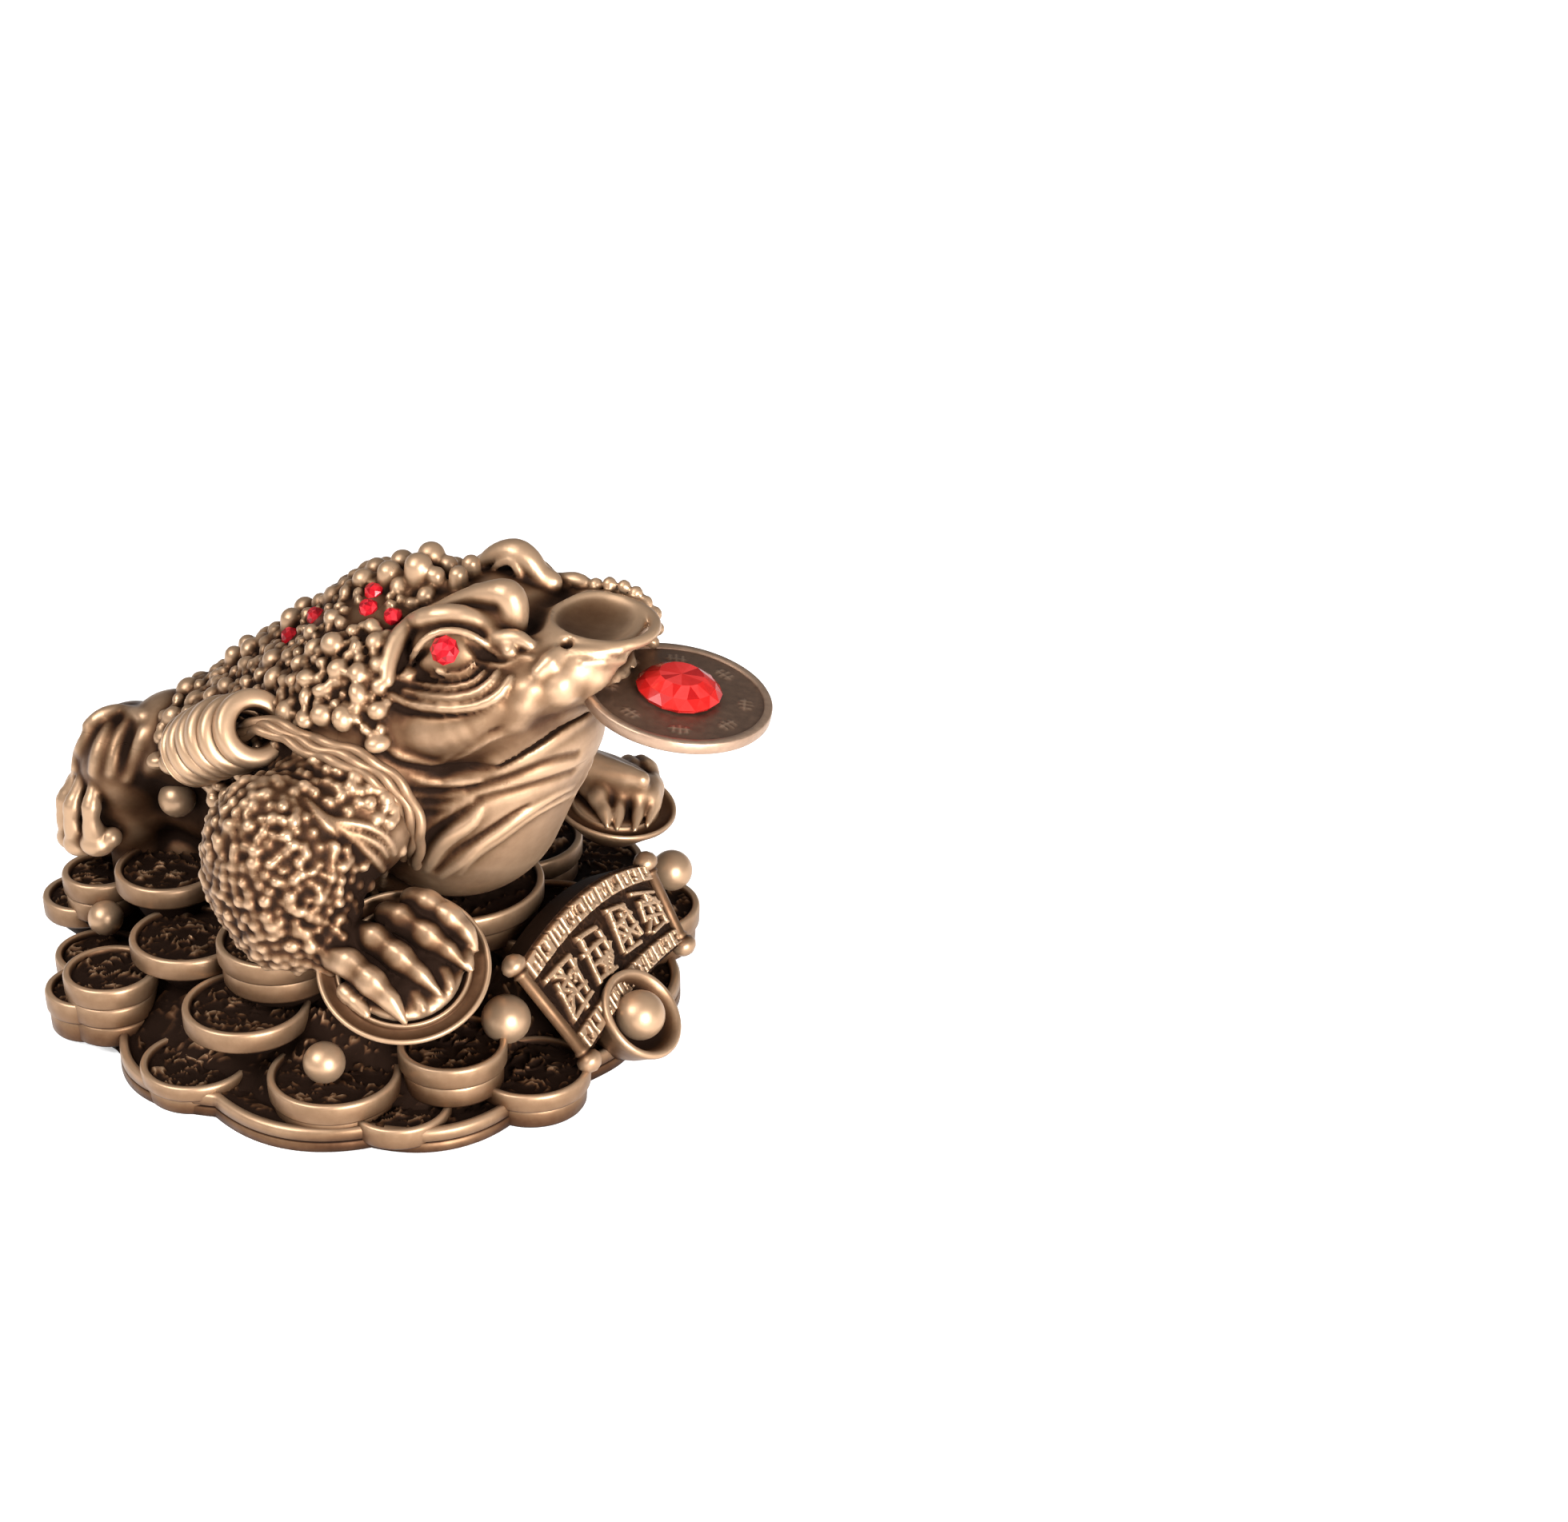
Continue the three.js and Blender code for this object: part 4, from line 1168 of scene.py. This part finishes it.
# The ingot's profile: radius, height, hollowness
INGOT = [
    (0.1, -5, 0.2), (4.2, -5, 0.1), (5.1, -3, 0.02), (5.8, -0.8, 0), (6.3, 0.5, -0.06),
    (6.25, 0.95, -0.14), (5.9, 1.25, -0.15), (5.5, 1.1, -0.1), (5.0, 0.3, 0.02), (4.5, -0.7, 0.16),
    (2.8, -1.4, 0.24), (0.1, -1.5, 0.26),
]
INGOT_PLACE = np.array((42.4, -4.4, 6.9))
INGOT_FACING = unit((0.72, -0.12, 0.68))


def dish(heap, side):
    """The double-rimmed dish under a hand."""
    edge = [(DISH_RADIUS[side] + inset, height, hollow) for inset, height, hollow in DISH_EDGE]
    rows = [(0.1, -4, 0.2), *edge, (0.1, -0.9, 0.28)]
    heap.turn(rows, 120, DISH_MIDDLE[side], DISH_FACING[side])


def ingot(heap):
    """The small boat-shaped ingot with a ball in it, at the foot of the scroll."""
    heap.turn(INGOT, 80, INGOT_PLACE, INGOT_FACING)
    pearl(heap, INGOT_PLACE + 0.3 * INGOT_FACING, 3.3)


# The scroll

SCROLL_HALF = 15.5
SCROLL_HEIGHT = 14.6
SCROLL_LIFT = 0.8
SCROLL_BLOCKS = 11
SCROLL_SIGNS = 4
# One end of a scroll's rod: radius, height, hollowness
KNOB = [
    (0.05, -0.9, -0.05), (0.9, -0.6, -0.05), (1.5, 0, -0.08), (1.75, 0.7, -0.1), (1.5, 1.4, -0.02),
    (0.9, 1.8, 0.2), (1.15, 2.2, 0.02), (0.85, 2.6, 0.05),
]


def scroll_point(across, down, lift):
    """A point of the scroll's face, from across, -1 to 1, and down, 0 to 1, lifted off it."""
    across, down = np.broadcast_arrays(np.asarray(across, float), np.asarray(down, float))
    left = across * SCROLL_HALF
    upper = np.stack((32.6 + 2.2 * across, left, 21.3 - 3.8 * across**2), axis=-1)
    lower = np.stack((np.full_like(across, 40), left, 8 - 1.6 * across**2), axis=-1)
    out = unit(np.cross(lower - upper, (0, 1, 0)))
    return upper + (lower - upper) * down[..., None] + out * np.asarray(lift, float)[..., None]


def bar(position, middle, half, soft):
    """1 inside a bar of this half width, falling to 0 over its soft edge."""
    return np.clip((half - np.abs(position - middle)) / soft + 0.5, 0, 1)


def scroll_border(u, v, draw):
    """A row of marked blocks along the upper and the lower edge."""
    relief = np.zeros(u.shape)
    pitch = 2 * SCROLL_HALF * 0.95 / SCROLL_BLOCKS
    for height in (0.11 * SCROLL_HEIGHT, 0.88 * SCROLL_HEIGHT):
        for i in range(SCROLL_BLOCKS):
            middle = (i + 0.5 - SCROLL_BLOCKS / 2) * pitch
            inside = np.zeros(u.shape)
            for x, y in draw.uniform(-1, 1, (3, 2)):
                mark = bar(u, middle + 0.8 * x, 0.22, 0.2) * bar(v, height + 0.5 * y, 0.55, 0.3)
                inside = np.maximum(inside, mark)
            square = bar(u, middle, pitch * 0.43, 0.25) * bar(v, height, 1.25, 0.25)
            relief = np.maximum(relief, square * (1 - 0.8 * inside))
    return relief


def sign_strokes(draw):
    """The strokes of a sign that is no letter: place, half length, half width, turn in degrees."""
    level = [
        (draw.uniform(-0.4, 0.4), down, draw.uniform(2.0, 3.2), 0.36, draw.uniform(-12, 12))
        for down in (-2.9, -1.0, 0.9, 2.8)
    ]
    upright = [
        (across, draw.uniform(-0.7, 0.7), draw.uniform(1.6, 3.2), 0.38, 90 + draw.uniform(-14, 14))
        for across in (-2.1, 0.1, 2.2)
    ]
    slanted = [
        (draw.uniform(-2, 2), draw.uniform(-2.4, 2.4), 1.6, 0.34, draw.choice((-42, 42)))
        for _ in range(4)
    ]
    return level + upright + slanted


def scroll_relief(u, v):
    """The raised pattern, from 0 to 1, at places in millimetres across and down the face."""
    draw = np.random.default_rng(8)
    relief = scroll_border(u, v, draw)
    for i in range(SCROLL_SIGNS):
        x = u - (i + 0.5 - SCROLL_SIGNS / 2) * 2 * SCROLL_HALF * 0.235
        y = v - SCROLL_HEIGHT / 2
        for across, down, half, thick, turn in sign_strokes(draw):
            cos, sin = math.cos(math.radians(turn)), math.sin(math.radians(turn))
            along = (x - across) * cos + (y - down) * sin
            beside = (y - down) * cos - (x - across) * sin
            relief = np.maximum(relief, bar(along, 0, half, 0.3) * bar(beside, 0, thick, 0.3))
    return relief


def scroll(heap):
    """The curved face with its signs, skirts under its edges and a knobbed rod at each end."""
    columns, rows = 300, 150
    across, down = np.meshgrid(np.linspace(-1, 1, columns), np.linspace(0, 1, rows))
    relief = scroll_relief(across * SCROLL_HALF, down * SCROLL_HEIGHT)
    grain = crumbs(across * SCROLL_HALF * 1.4, down * 20)
    points = scroll_point(across, down, SCROLL_LIFT * relief + 0.12 * grain).reshape(-1, 3)
    hollow = (0.22 - 0.36 * relief - 0.06 * grain).ravel()
    heap.put(points, grid_faces(rows, columns, False)[:, ::-1], hollow)
    for edge, order in ((0, 1), (1, -1)):
        skirt = np.concatenate([scroll_point(across[0], edge, lift) for lift in (0.0, -5.0)])
        heap.put(skirt, grid_faces(2, columns, False)[:, ::order], 0.3)
    for side in SIDES:
        start, end = (scroll_point(side, down, 0.1) for down in (-0.08, 1.08))
        length = np.linalg.norm(end - start)
        other = [(radius, length - height, hollow) for radius, height, hollow in reversed(KNOB)]
        heap.turn(KNOB + other, 28, start, end - start)


# The strings of coins on the back

# Each coin of a string: how far behind the front one's face, its thickness and its radius
STRING_COINS = [
    (0, 2.9, 5.05), (2.95, 2.4, 5.2), (5.4, 2.4, 5.25), (7.85, 2.2, 5.2), (10.1, 2.2, 5.1),
    (12.3, 1.2, 4.9),
]
STRING_HOLE = 2.5
STRAND_RADIUS = 0.66


def ring_coin(thick, r):
    """The profile of a rounded ring coin: radius, height and darkness, with painted shade on its
    back where it meets the next coin.
    """
    hole, back = STRING_HOLE, -thick
    return [
        (hole, back, 0.4), (hole, -0.7, 0.3), (hole + 0.12, -0.3, 0.06), (hole + 0.5, -0.05, -0.1),
        (hole + 1.0, 0.06, -0.14), (r - 0.9, 0.04, -0.14), (r - 0.4, -0.12, -0.17),
        (r - 0.1, -0.42, -0.18), (r, -0.85, -0.16), (r - 0.02, back + 0.75, -0.1),
        (r - 0.2, back + 0.4, 0.05), (r - 0.7, back + 0.22, 0.26), (r - 1.2, back + 0.15, 0.4),
        (r - 1.3, back - 0.3, 0.42),
    ]


def coin_string(heap, side):
    """Thick ring coins side by side, each leaning a little its own way, with dark gaps between from
    painted shade on their backs.
    """
    facing = unit((0.68, 0.46 * side, 0.57))
    level, steep = across_to(facing)
    drift = np.random.default_rng(5).uniform(-1, 1, (len(STRING_COINS), 4))
    for i, (behind, thick, radius) in enumerate(STRING_COINS):
        slip = min(i, 1) * 0.28 * (level * drift[i, 0] + steep * drift[i, 1])
        place = STRING_FRONT[side] - STRING_AXIS[side] * behind + slip
        lean = 0.11 * (level * drift[i, 2] + steep * drift[i, 3])
        heap.turn(ring_coin(thick, radius), 72, place, facing + lean)


def cord(heap, side, path):
    """Three strands side by side along the cord's path."""
    along = unit(np.gradient(path, axis=0))
    level = unit(np.cross(along, (0.1, 0.8 * side, 0.6)))
    steep = np.cross(level, along)
    steps = np.linalg.norm(np.diff(path, axis=0), axis=1)
    travelled = np.concatenate(([0], np.cumsum(steps)))
    spread = np.interp(travelled, (0, 6, 16), (0.5, 0.75, 1.0))
    for i in (-1, 0, 1):
        phase = travelled * 1.1 + 2.1 * i
        across = (spread * 1.05 * i + 0.16 * np.sin(phase))[:, None] * level
        rise = (0.2 * np.cos(phase))[:, None] * steep
        points, faces = swept(path + across + rise, STRAND_RADIUS, 12)
        heap.put(points, faces, -0.04)


# Paint


def node(tree, kind, inputs=(), **settings):
    """A node with its inputs linked or set."""
    made = tree.nodes.new(kind)
    for name, value in settings.items():
        setattr(made, name, value)
    for name, value in dict(inputs).items():
        if isinstance(value, bpy.types.NodeSocket):
            tree.links.new(value, made.inputs[name])
        else:
            made.inputs[name].default_value = value
    return made


def sum_of(tree, *terms):
    """The sum of socket times factor over the terms, plus any plain numbers."""
    total = sum(term for term in terms if not isinstance(term, tuple))
    for socket, factor in (term for term in terms if isinstance(term, tuple)):
        inputs = {0: socket, 1: factor, 2: total}
        total = node(tree, "ShaderNodeMath", inputs, operation="MULTIPLY_ADD").outputs[0]
    return total


def attribute(tree, name):
    """What a mesh says at each of its points."""
    return node(tree, "ShaderNodeAttribute", attribute_name=name).outputs["Fac"]


def noise(tree, size, detail, roughness=0.55):
    """Noise over the object with features about this many millimetres wide."""
    place = node(tree, "ShaderNodeTexCoord").outputs["Object"]
    inputs = {"Vector": place, "Scale": 1000 / size, "Detail": detail, "Roughness": roughness}
    return node(tree, "ShaderNodeTexNoise", inputs).outputs["Fac"]


def ramp(tree, factor, stops):
    """Colours at places along a factor; a plain number stands for a grey."""
    made = node(tree, "ShaderNodeValToRGB", {"Fac": factor})
    elements = made.color_ramp.elements
    while len(elements) < len(stops):
        elements.new(0.5)
    for element, (place, color) in zip(elements, stops):
        element.position = place
        element.color = (*(color if isinstance(color, tuple) else [color] * 3), 1)
    return made.outputs["Color"]


def bump(tree, height, depth, strength):
    """The normal of a surface with a relief, whose depth is in millimetres."""
    inputs = {"Height": height, "Distance": depth * MM, "Strength": strength}
    return node(tree, "ShaderNodeBump", inputs).outputs["Normal"]


def painted(name, look, *tones):
    """A material whose shader has the inputs that a look gives."""
    material = bpy.data.materials.new(name)
    material.use_nodes = True
    tree = material.node_tree
    tree.nodes.clear()
    shader = node(tree, "ShaderNodeBsdfPrincipled", look(tree, *tones))
    node(tree, "ShaderNodeOutputMaterial", {"Surface": shader.outputs[0]})
    return material


def bronze(tree):
    """Bronze paint rubbed thin: tan on what stands out, brown on the flat, dark in the hollows from
    patina and painted shade.
    """
    hollow, shade = attribute(tree, "hollow"), attribute(tree, "shade")
    wide, fine, grain = noise(tree, 14, 3), noise(tree, 1.6, 5), noise(tree, 0.35, 2)
    # Patina in the hollows and painted shade from the surroundings, with noise for tone
    patina_and_painted_shade = sum_of(tree, (hollow, 2.9), (shade, 1.5), (wide, 0.24), (fine, 0.2), 0.25)
    tones = [
        (0.0, (0.38, 0.245, 0.150)), (0.16, (0.272, 0.169, 0.101)), (0.29, (0.185, 0.109, 0.061)),
        (0.49, (0.112, 0.058, 0.029)), (0.67, (0.058, 0.025, 0.011)),
        (0.84, (0.030, 0.0125, 0.0055)), (1.0, (0.014, 0.006, 0.003)),
    ]
    rough = sum_of(tree, (patina_and_painted_shade, 0.75), (fine, 0.25))
    return {
        "Base Color": ramp(tree, patina_and_painted_shade, tones),
        "Roughness": ramp(tree, rough, [(0.1, 0.38), (0.55, 0.48), (0.95, 0.85)]),
        "Normal": bump(tree, sum_of(tree, (fine, 0.7), (grain, 0.1)), 0.12, 0.25),
        "Metallic": 0.66,
        "Specular IOR Level": 0.15,
    }


def dark_coin(tree):
    """The loose coin: dark brown metal with a worn lighter rim and marks."""
    fine, wide = noise(tree, 0.9, 6, 0.65), noise(tree, 5, 4)
    worn = sum_of(tree, (attribute(tree, "hollow"), -3.0), (fine, 0.35), (wide, 0.25), 0.05)
    tones = [
        (0.1, (0.10, 0.058, 0.038)), (0.45, (0.22, 0.135, 0.09)), (0.75, (0.34, 0.225, 0.155)),
        (1.0, (0.42, 0.31, 0.22)),
    ]
    return {
        "Base Color": ramp(tree, worn, tones),
        "Roughness": ramp(tree, fine, [(0.3, 0.34), (0.75, 0.55)]),
        "Normal": bump(tree, fine, 0.1, 0.3),
        "Metallic": 0.8,
    }


def red_stone(tree, bright, dark):
    """A foiled red stone: each facet its own red, under a clear gloss."""
    facing = {"Vector": node(tree, "ShaderNodeNewGeometry").outputs["True Normal"]}
    facet = node(tree, "ShaderNodeTexWhiteNoise", facing, noise_dimensions="3D").outputs["Value"]
    red = sum_of(tree, (facet, 0.75), (noise(tree, 1.2, 3), 0.35), -0.05)
    lightest = tuple(1.25 * value + 0.02 for value in bright)
    return {
        "Base Color": ramp(tree, red, [(0.0, dark), (0.55, bright), (1.0, lightest)]),
        "Roughness": 0.16,
        "IOR": 1.5,
        "Specular IOR Level": 0.25,
    }


def pale_floor(_tree):
    return {
        "Base Color": (0.92, 0.92, 0.92, 1),
        "Emission Color": (1, 1, 1, 1),
        "Emission Strength": 0.5,
        "Roughness": 0.7,
    }


BRONZE = painted("bronze_paint", bronze)
DARK_COIN = painted("dark_coin_metal", dark_coin)
SMALL_RED = painted("red_stone_small", red_stone, (0.38, 0.006, 0.012), (0.07, 0.001, 0.003))
LARGE_RED = painted("red_stone_large", red_stone, (0.38, 0.010, 0.008), (0.17, 0.002, 0.003))


# Pieces


def linked(name, data):
    """An object in the scene."""
    made = bpy.data.objects.new(name, data)
    bpy.context.scene.collection.objects.link(made)
    return made


def piece(name, points, faces, material, node_name, attributes=None):
    """A mesh from millimetre points, riding on the object and standing for a CAD node.

    One with attributes for its paint is smooth, and one without is faceted.
    """
    mesh = bpy.data.meshes.new(name)
    mesh.from_pydata(points * MM, [], faces.tolist() if isinstance(faces, np.ndarray) else faces)
    mesh.polygons.foreach_set("use_smooth", [attributes is not None] * len(mesh.polygons))
    for key, values in (attributes or {}).items():
        values = np.asarray(values, np.float32)
        mesh.attributes.new(key, "FLOAT", "POINT").data.foreach_set("value", values)
    mesh.materials.append(material)
    mesh.update()
    made = linked(name, mesh)
    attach(made, "root")
    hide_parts(node_name)


def bronze_piece(name, points, faces, hollow, shading=1.0):
    """A piece of the cast figure."""
    attributes = {"hollow": hollow, "shade": shading * shade_at(points)}
    piece(name, points, faces, BRONZE, "toad_on_coins", attributes)


def drum(place, radius, depth):
    """An upright cylinder under a place."""
    x, y, top = place

    def distance(px, py, pz):
        side = np.sqrt((px - x) ** 2 + (py - y) ** 2) - radius
        return np.maximum(side, np.abs(pz - (top - depth / 2)) - depth / 2)

    return Form(distance, (x - radius, y - radius, top - depth), (x + radius, y + radius, top))


def surroundings():
    """The whole figure in coarse clay, for the shade in its deep places."""
    clay = toad_clay((-48, -43, -6), (62, 43, 70), 1.0)
    add_toes(clay)
    for side in SIDES:
        add_hand(clay, side)
        width = DISH_RADIUS[side] - 0.5
        clay.add(egg(DISH_MIDDLE[side] - (0, 0, 1.5), (width, width, 2.6)))
        front, axis = STRING_FRONT[side], STRING_AXIS[side]
        clay.add(limb(front - axis * 4, front - axis * 9, 4.8, 4.8))
    for x, y, top, diameter, count in PILE_COINS:
        clay.add(drum((x, y, top - 0.6), diameter / 2, min(count * COIN_THICKNESS, top)))
    clay.add(drum((FOOT_AHEAD, 0, 3), FOOT_RADIUS - 1, 3))
    for height, radius in ((8, 28), (13, 21), (18.5, 12)):
        clay.add(drum((0, 0, height), radius, height))
    for *place, radius in PEARLS:
        clay.add(ball(place, radius))
    clay.add(limb((34, -12, 12), (34, 12, 12), 5, 5))
    clay.add(drum((0, 0, 0), 70, 6))
    return clay


SURROUNDINGS = surroundings()
NEAR = fullness(SURROUNDINGS, 2.0)
DEEP = fullness(SURROUNDINGS, 5.0)


def shade_at(points):
    """How deep in shade a place is: 0 in the open, about 0.4 in a deep gap."""
    deep = SURROUNDINGS.sample(DEEP, points) - 0.5
    near = SURROUNDINGS.sample(NEAR, points) - 0.5
    return np.clip(0.55 * deep + 0.45 * near, -0.1, 0.5)


# Where the paint is darker or lighter than its form makes it, as painted shade in the hollow
# flanks, under the arms and on the hind leg, as painted light on the throat, and as tone: middle,
# radii and amount, for the right side
SHADE_LIGHT_AND_TONE = [
    ((-17, -15, 26), (11, 12, 10), 0.16), ((12, -18, 25), (6, 7, 5), 0.12),
    ((20.5, -12, 57), (9, 7, 7), 0.05), ((-30, -5, 33), (9, 9, 6), 0.15),
    ((28, -2, 36), (10, 14, 14), -0.07), ((36.4, -4, 60), (8, 8, 4), -0.075),
    ((21, -27, 24), (11, 10, 5), 0.13), ((16.5, -23.5, 29), (6.5, 6, 5), 0.16),
    ((29, -20, 25), (9, 9, 6), 0.04), ((5, -27, 33), (12, 11, 14), 0.12),
    ((0, 0, 52), (18, 18, 12), 0.06), ((24, -12, 50), (14, 8, 9), 0.05),
]


def shade_light_and_tone(points):
    """How much darker the paint is, as painted shade, painted light and tone; what lies on both
    sides of the middle counts half for each.
    """
    total = np.zeros(len(points))
    for middle, radii, amount in SHADE_LIGHT_AND_TONE:
        hind_leg, central = middle[0] < -29, middle[1] > -3
        for side in (RIGHT,) if hind_leg else SIDES:
            away = (((points - mirrored(middle, side)) / radii) ** 2).sum(axis=1)
            total += amount * np.clip(1.4 - away, 0, 1) * (0.5 if central else 1)
    return total


TOAD_LOW, TOAD_HIGH = (-43.2, -39.6, 10), (46.4, 39.6, 69)
TOAD_STEP = 0.36
ROUGH_STEP = 0.7
# The toad's pieces: whether each is ahead of the middle line, and above which height it starts
FRONT_AT = 9
TOAD_PARTS = {
    "toad_head": (True, 42, 99), "toad_back": (False, 36, 99), "toad_front": (True, 0, 42),
    "toad_rear": (False, 0, 36),
}


def clay_piece(name, points, faces, hollow, wanted):
    """Some of the toad's faces as a piece."""
    faces = faces[wanted]
    points = smoothed(points, faces, 0.4)
    used, numbers = np.unique(faces, return_inverse=True)
    bronze_piece(name, points[used], numbers.reshape(faces.shape), hollow[used])


def build_toad():
    """The toad in four pieces; returns the paths of the cords that lie on it."""
    surface, _ = skinned(toad_clay(TOAD_LOW, TOAD_HIGH, ROUGH_STEP))
    clay = toad_clay(TOAD_LOW, TOAD_HIGH, TOAD_STEP)
    cords = detail(clay, surface)
    points, faces = skinned(clay)
    near = clay.sample(fullness(clay, 0.75), points) - 0.5
    far = clay.sample(fullness(clay, 1.6), points) - 0.5
    # The near and far fullness darken the hollows as patina; the regions add painted shade, painted
    # light and tone
    hollow = 0.85 * near + 0.5 * far + shade_light_and_tone(points)
    x, _, z = points[faces].mean(axis=1).T
    for name, (ahead, low, high) in TOAD_PARTS.items():
        wanted = ((x > FRONT_AT) == ahead) & (z > low) & (z <= high)
        clay_piece(name, points, faces, hollow, wanted)
    return cords


def build_pile():
    """Coins, the ground under them, and what lies on them."""
    coins, ground, trim, paper = Heap(), Heap(), Heap(), Heap()
    for *place, diameter, count in PILE_COINS:
        coin_stack(coins, place, diameter / 2, count)
    foot(ground)
    core(ground)
    for *place, radius in PEARLS:
        pearl(trim, place, radius)
    ingot(trim)
    for side in SIDES:
        dish(trim, side)
    scroll(paper)
    bronze_piece("pile_coins", *coins.gathered())
    bronze_piece("pile_ground", *ground.gathered())
    bronze_piece("pearls_and_dishes", *trim.gathered(), 0.25)
    bronze_piece("scroll", *paper.gathered())


def build_strings(cords):
    """The string of coins on each side of the back, with its cord."""
    for side, word in ((RIGHT, "right"), (LEFT, "left")):
        string = Heap()
        coin_string(string, side)
        cord(string, side, cords[side])
        bronze_piece(f"coin_string_{word}", *string.gathered(), 0.95)


# The loose coin
COIN_TILT = math.radians(10.7)
COIN_HALF, COIN_BORDER, COIN_SUNK = 0.8, 1.0, 0.25  # half thickness, rim, depth of the face
COIN_SIGNS = (-70, -20, 25, 70, 115, 160, 205, 250)  # headings in degrees
SIGN_AWAY, SIGN_HEIGHT, SIGN_EDGE = 8.6, 0.18, 10.6


def coin_marks(u, v):
    """Signs that are no letters round the coin's face, from 0 to 1."""
    marks = np.zeros(len(u))
    for degrees in COIN_SIGNS:
        turn = math.radians(degrees)
        along = u * math.cos(turn) + v * math.sin(turn) - SIGN_AWAY
        beside = -u * math.sin(turn) + v * math.cos(turn)
        for shift in (-0.8, 0, 0.8):
            stroke = bar(beside, shift, 0.18, 0.2) * bar(along, 0, 1.0 - 0.3 * abs(shift), 0.25)
            marks = np.maximum(marks, stroke)
        marks = np.maximum(marks, bar(beside, 0, 1.3, 0.25) * bar(along, -0.2, 0.14, 0.2))
    return marks * (np.hypot(u, v) < SIGN_EDGE)


def build_coin():
    """The loose coin, whose width and place come from its CAD node's box."""
    low, high = (np.array(corner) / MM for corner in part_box("mouth_coin"))
    middle, r = (low + high) / 2, (high[1] - low[1]) / 2
    facing = np.array((math.sin(COIN_TILT), 0, math.cos(COIN_TILT)))
    inner, half, face = r - COIN_BORDER, COIN_HALF, COIN_HALF - COIN_SUNK
    coin = Heap()
    side = [
        (0.02, -face, 0.0), (inner - 0.1, -face, 0.05), (r - 0.9, -half, -0.1),
        (r - 0.15, -half, -0.14), (r, 0.2 - half, -0.12), (r, half - 0.2, -0.12),
        (r - 0.15, half, -0.15), (inner, half, -0.12), (inner - 0.15, face, 0.08),
    ]
    coin.turn(side, 160, middle, facing)
    rows = [((inner - 0.15) * (1 - share), face) for share in np.arange(60) / 60] + [(0.02, face)]
    points, faces = turned(rows, 200, middle, facing)
    level, steep = across_to(facing)
    marks = coin_marks((points - middle) @ level, (points - middle) @ steep)
    coin.put(points + facing * (SIGN_HEIGHT * marks)[:, None], faces, 0.03 - 0.16 * marks)
    points, faces, hollow = coin.gathered()
    piece("loose_coin", points, faces, DARK_COIN, "mouth_coin", {"hollow": hollow})


def stone_mesh(radius, height, sides):
    """A faceted stone: flat table, star of crown facets, girdle."""
    rings = [
        (radius * 0.93, 0.0, 0), (radius, height * 0.22, 0), (radius * 0.82, height * 0.62, 0.5),
        (radius * 0.52, height, 0),
    ]
    points = [(0, 0, 0)]
    for r, h, shift in rings:
        angles = 2 * math.pi * (np.arange(sides) + shift) / sides
        points += [(r * math.cos(angle), r * math.sin(angle), h) for angle in angles]
    points.append((0, 0, height))
    faces = []
    for i in range(sides):
        foot, girdle, crown, table = ((1 + k * sides + i) for k in range(4))
        step = (i + 1) % sides - i
        faces += [
            (0, foot + step, foot),
            (foot, foot + step, girdle + step, girdle),
            (girdle, girdle + step, crown),
            (girdle + step, crown + step, crown),
            (crown, crown + step, table + step),
            (crown, table + step, table),
            (table, table + step, 1 + 4 * sides),
        ]
    return np.array(points), faces


def build_stones():
    """Each stone in the place, the way and the size of its CAD node."""
    for name, (place, facing, radius, height) in STONES.items():
        sides, paint = (16, LARGE_RED) if name == "coin_gem" else (8, SMALL_RED)
        points, faces = stone_mesh(radius, height, sides)
        axes = np.stack((*across_to(facing), facing))
        piece(f"{name}_stone", points @ axes + place, faces, paint, name)


# Studio

LIGHTS_AIM = Vector((5, 0, 30))
# Place, width and height, power
SOFT_LIGHTS = {
    "key": ((-150, -300, 330), (220, 160), 1.6),
    "fill": ((380, -300, 130), (200, 200), 5.6),
}
SUN_FROM = Vector((-0.35, -0.55, 1))
SUN_STRENGTH, SUN_WIDTH = 1.35, math.radians(50)
WORLD_STRENGTH = 0.27
FLOOR_HALF = 3.0  # in metres


def soft_light(name, place, size, power):
    light = bpy.data.lights.new(name, "AREA")
    light.shape = "RECTANGLE"
    light.size, light.size_y = (value * MM for value in size)
    light.energy = power
    made = linked(name, light)
    made.location = Vector(place) * MM
    aim = LIGHTS_AIM - Vector(place)
    made.rotation_euler = aim.to_track_quat("-Z", "Y").to_euler()


def floor():
    mesh = bpy.data.meshes.new("floor")
    corners = [(-1, -1), (1, -1), (1, 1), (-1, 1)]
    mesh.from_pydata([(x * FLOOR_HALF, y * FLOOR_HALF, 0) for x, y in corners], [], [(0, 1, 2, 3)])
    mesh.materials.append(painted("pale_floor", pale_floor))
    linked("floor", mesh)


def studio():
    floor()
    world = bpy.data.worlds.new("studio")
    bpy.context.scene.world = world
    world.use_nodes = True
    background = world.node_tree.nodes["Background"]
    background.inputs["Color"].default_value = (1, 1, 1, 1)
    background.inputs["Strength"].default_value = WORLD_STRENGTH
    sun = bpy.data.lights.new("broad_light", "SUN")
    sun.energy, sun.angle = SUN_STRENGTH, SUN_WIDTH
    linked("broad_light", sun).rotation_euler = SUN_FROM.to_track_quat("Z", "Y").to_euler()
    for name, light in SOFT_LIGHTS.items():
        soft_light(name, *light)
    bpy.context.scene.view_settings.view_transform = "Standard"


def camera():
    data = bpy.data.cameras.new("photo_view")
    data.sensor_width = SENSOR
    data.sensor_fit = "HORIZONTAL"
    data.lens = SENSOR * VIEW.focal / IMAGE[0]
    data.clip_start, data.clip_end = 0.01, 20
    made = linked("photo_view", data)
    axes = Matrix((Vector(VIEW.right), Vector(VIEW.up), -Vector(VIEW.forward))).transposed()
    made.matrix_world = Matrix.Translation(Vector(VIEW.place) * MM) @ axes.to_4x4()
    bpy.context.scene.camera = made


camera()
studio()
cords = build_toad()
build_pile()
build_strings(cords)
build_coin()
build_stones()
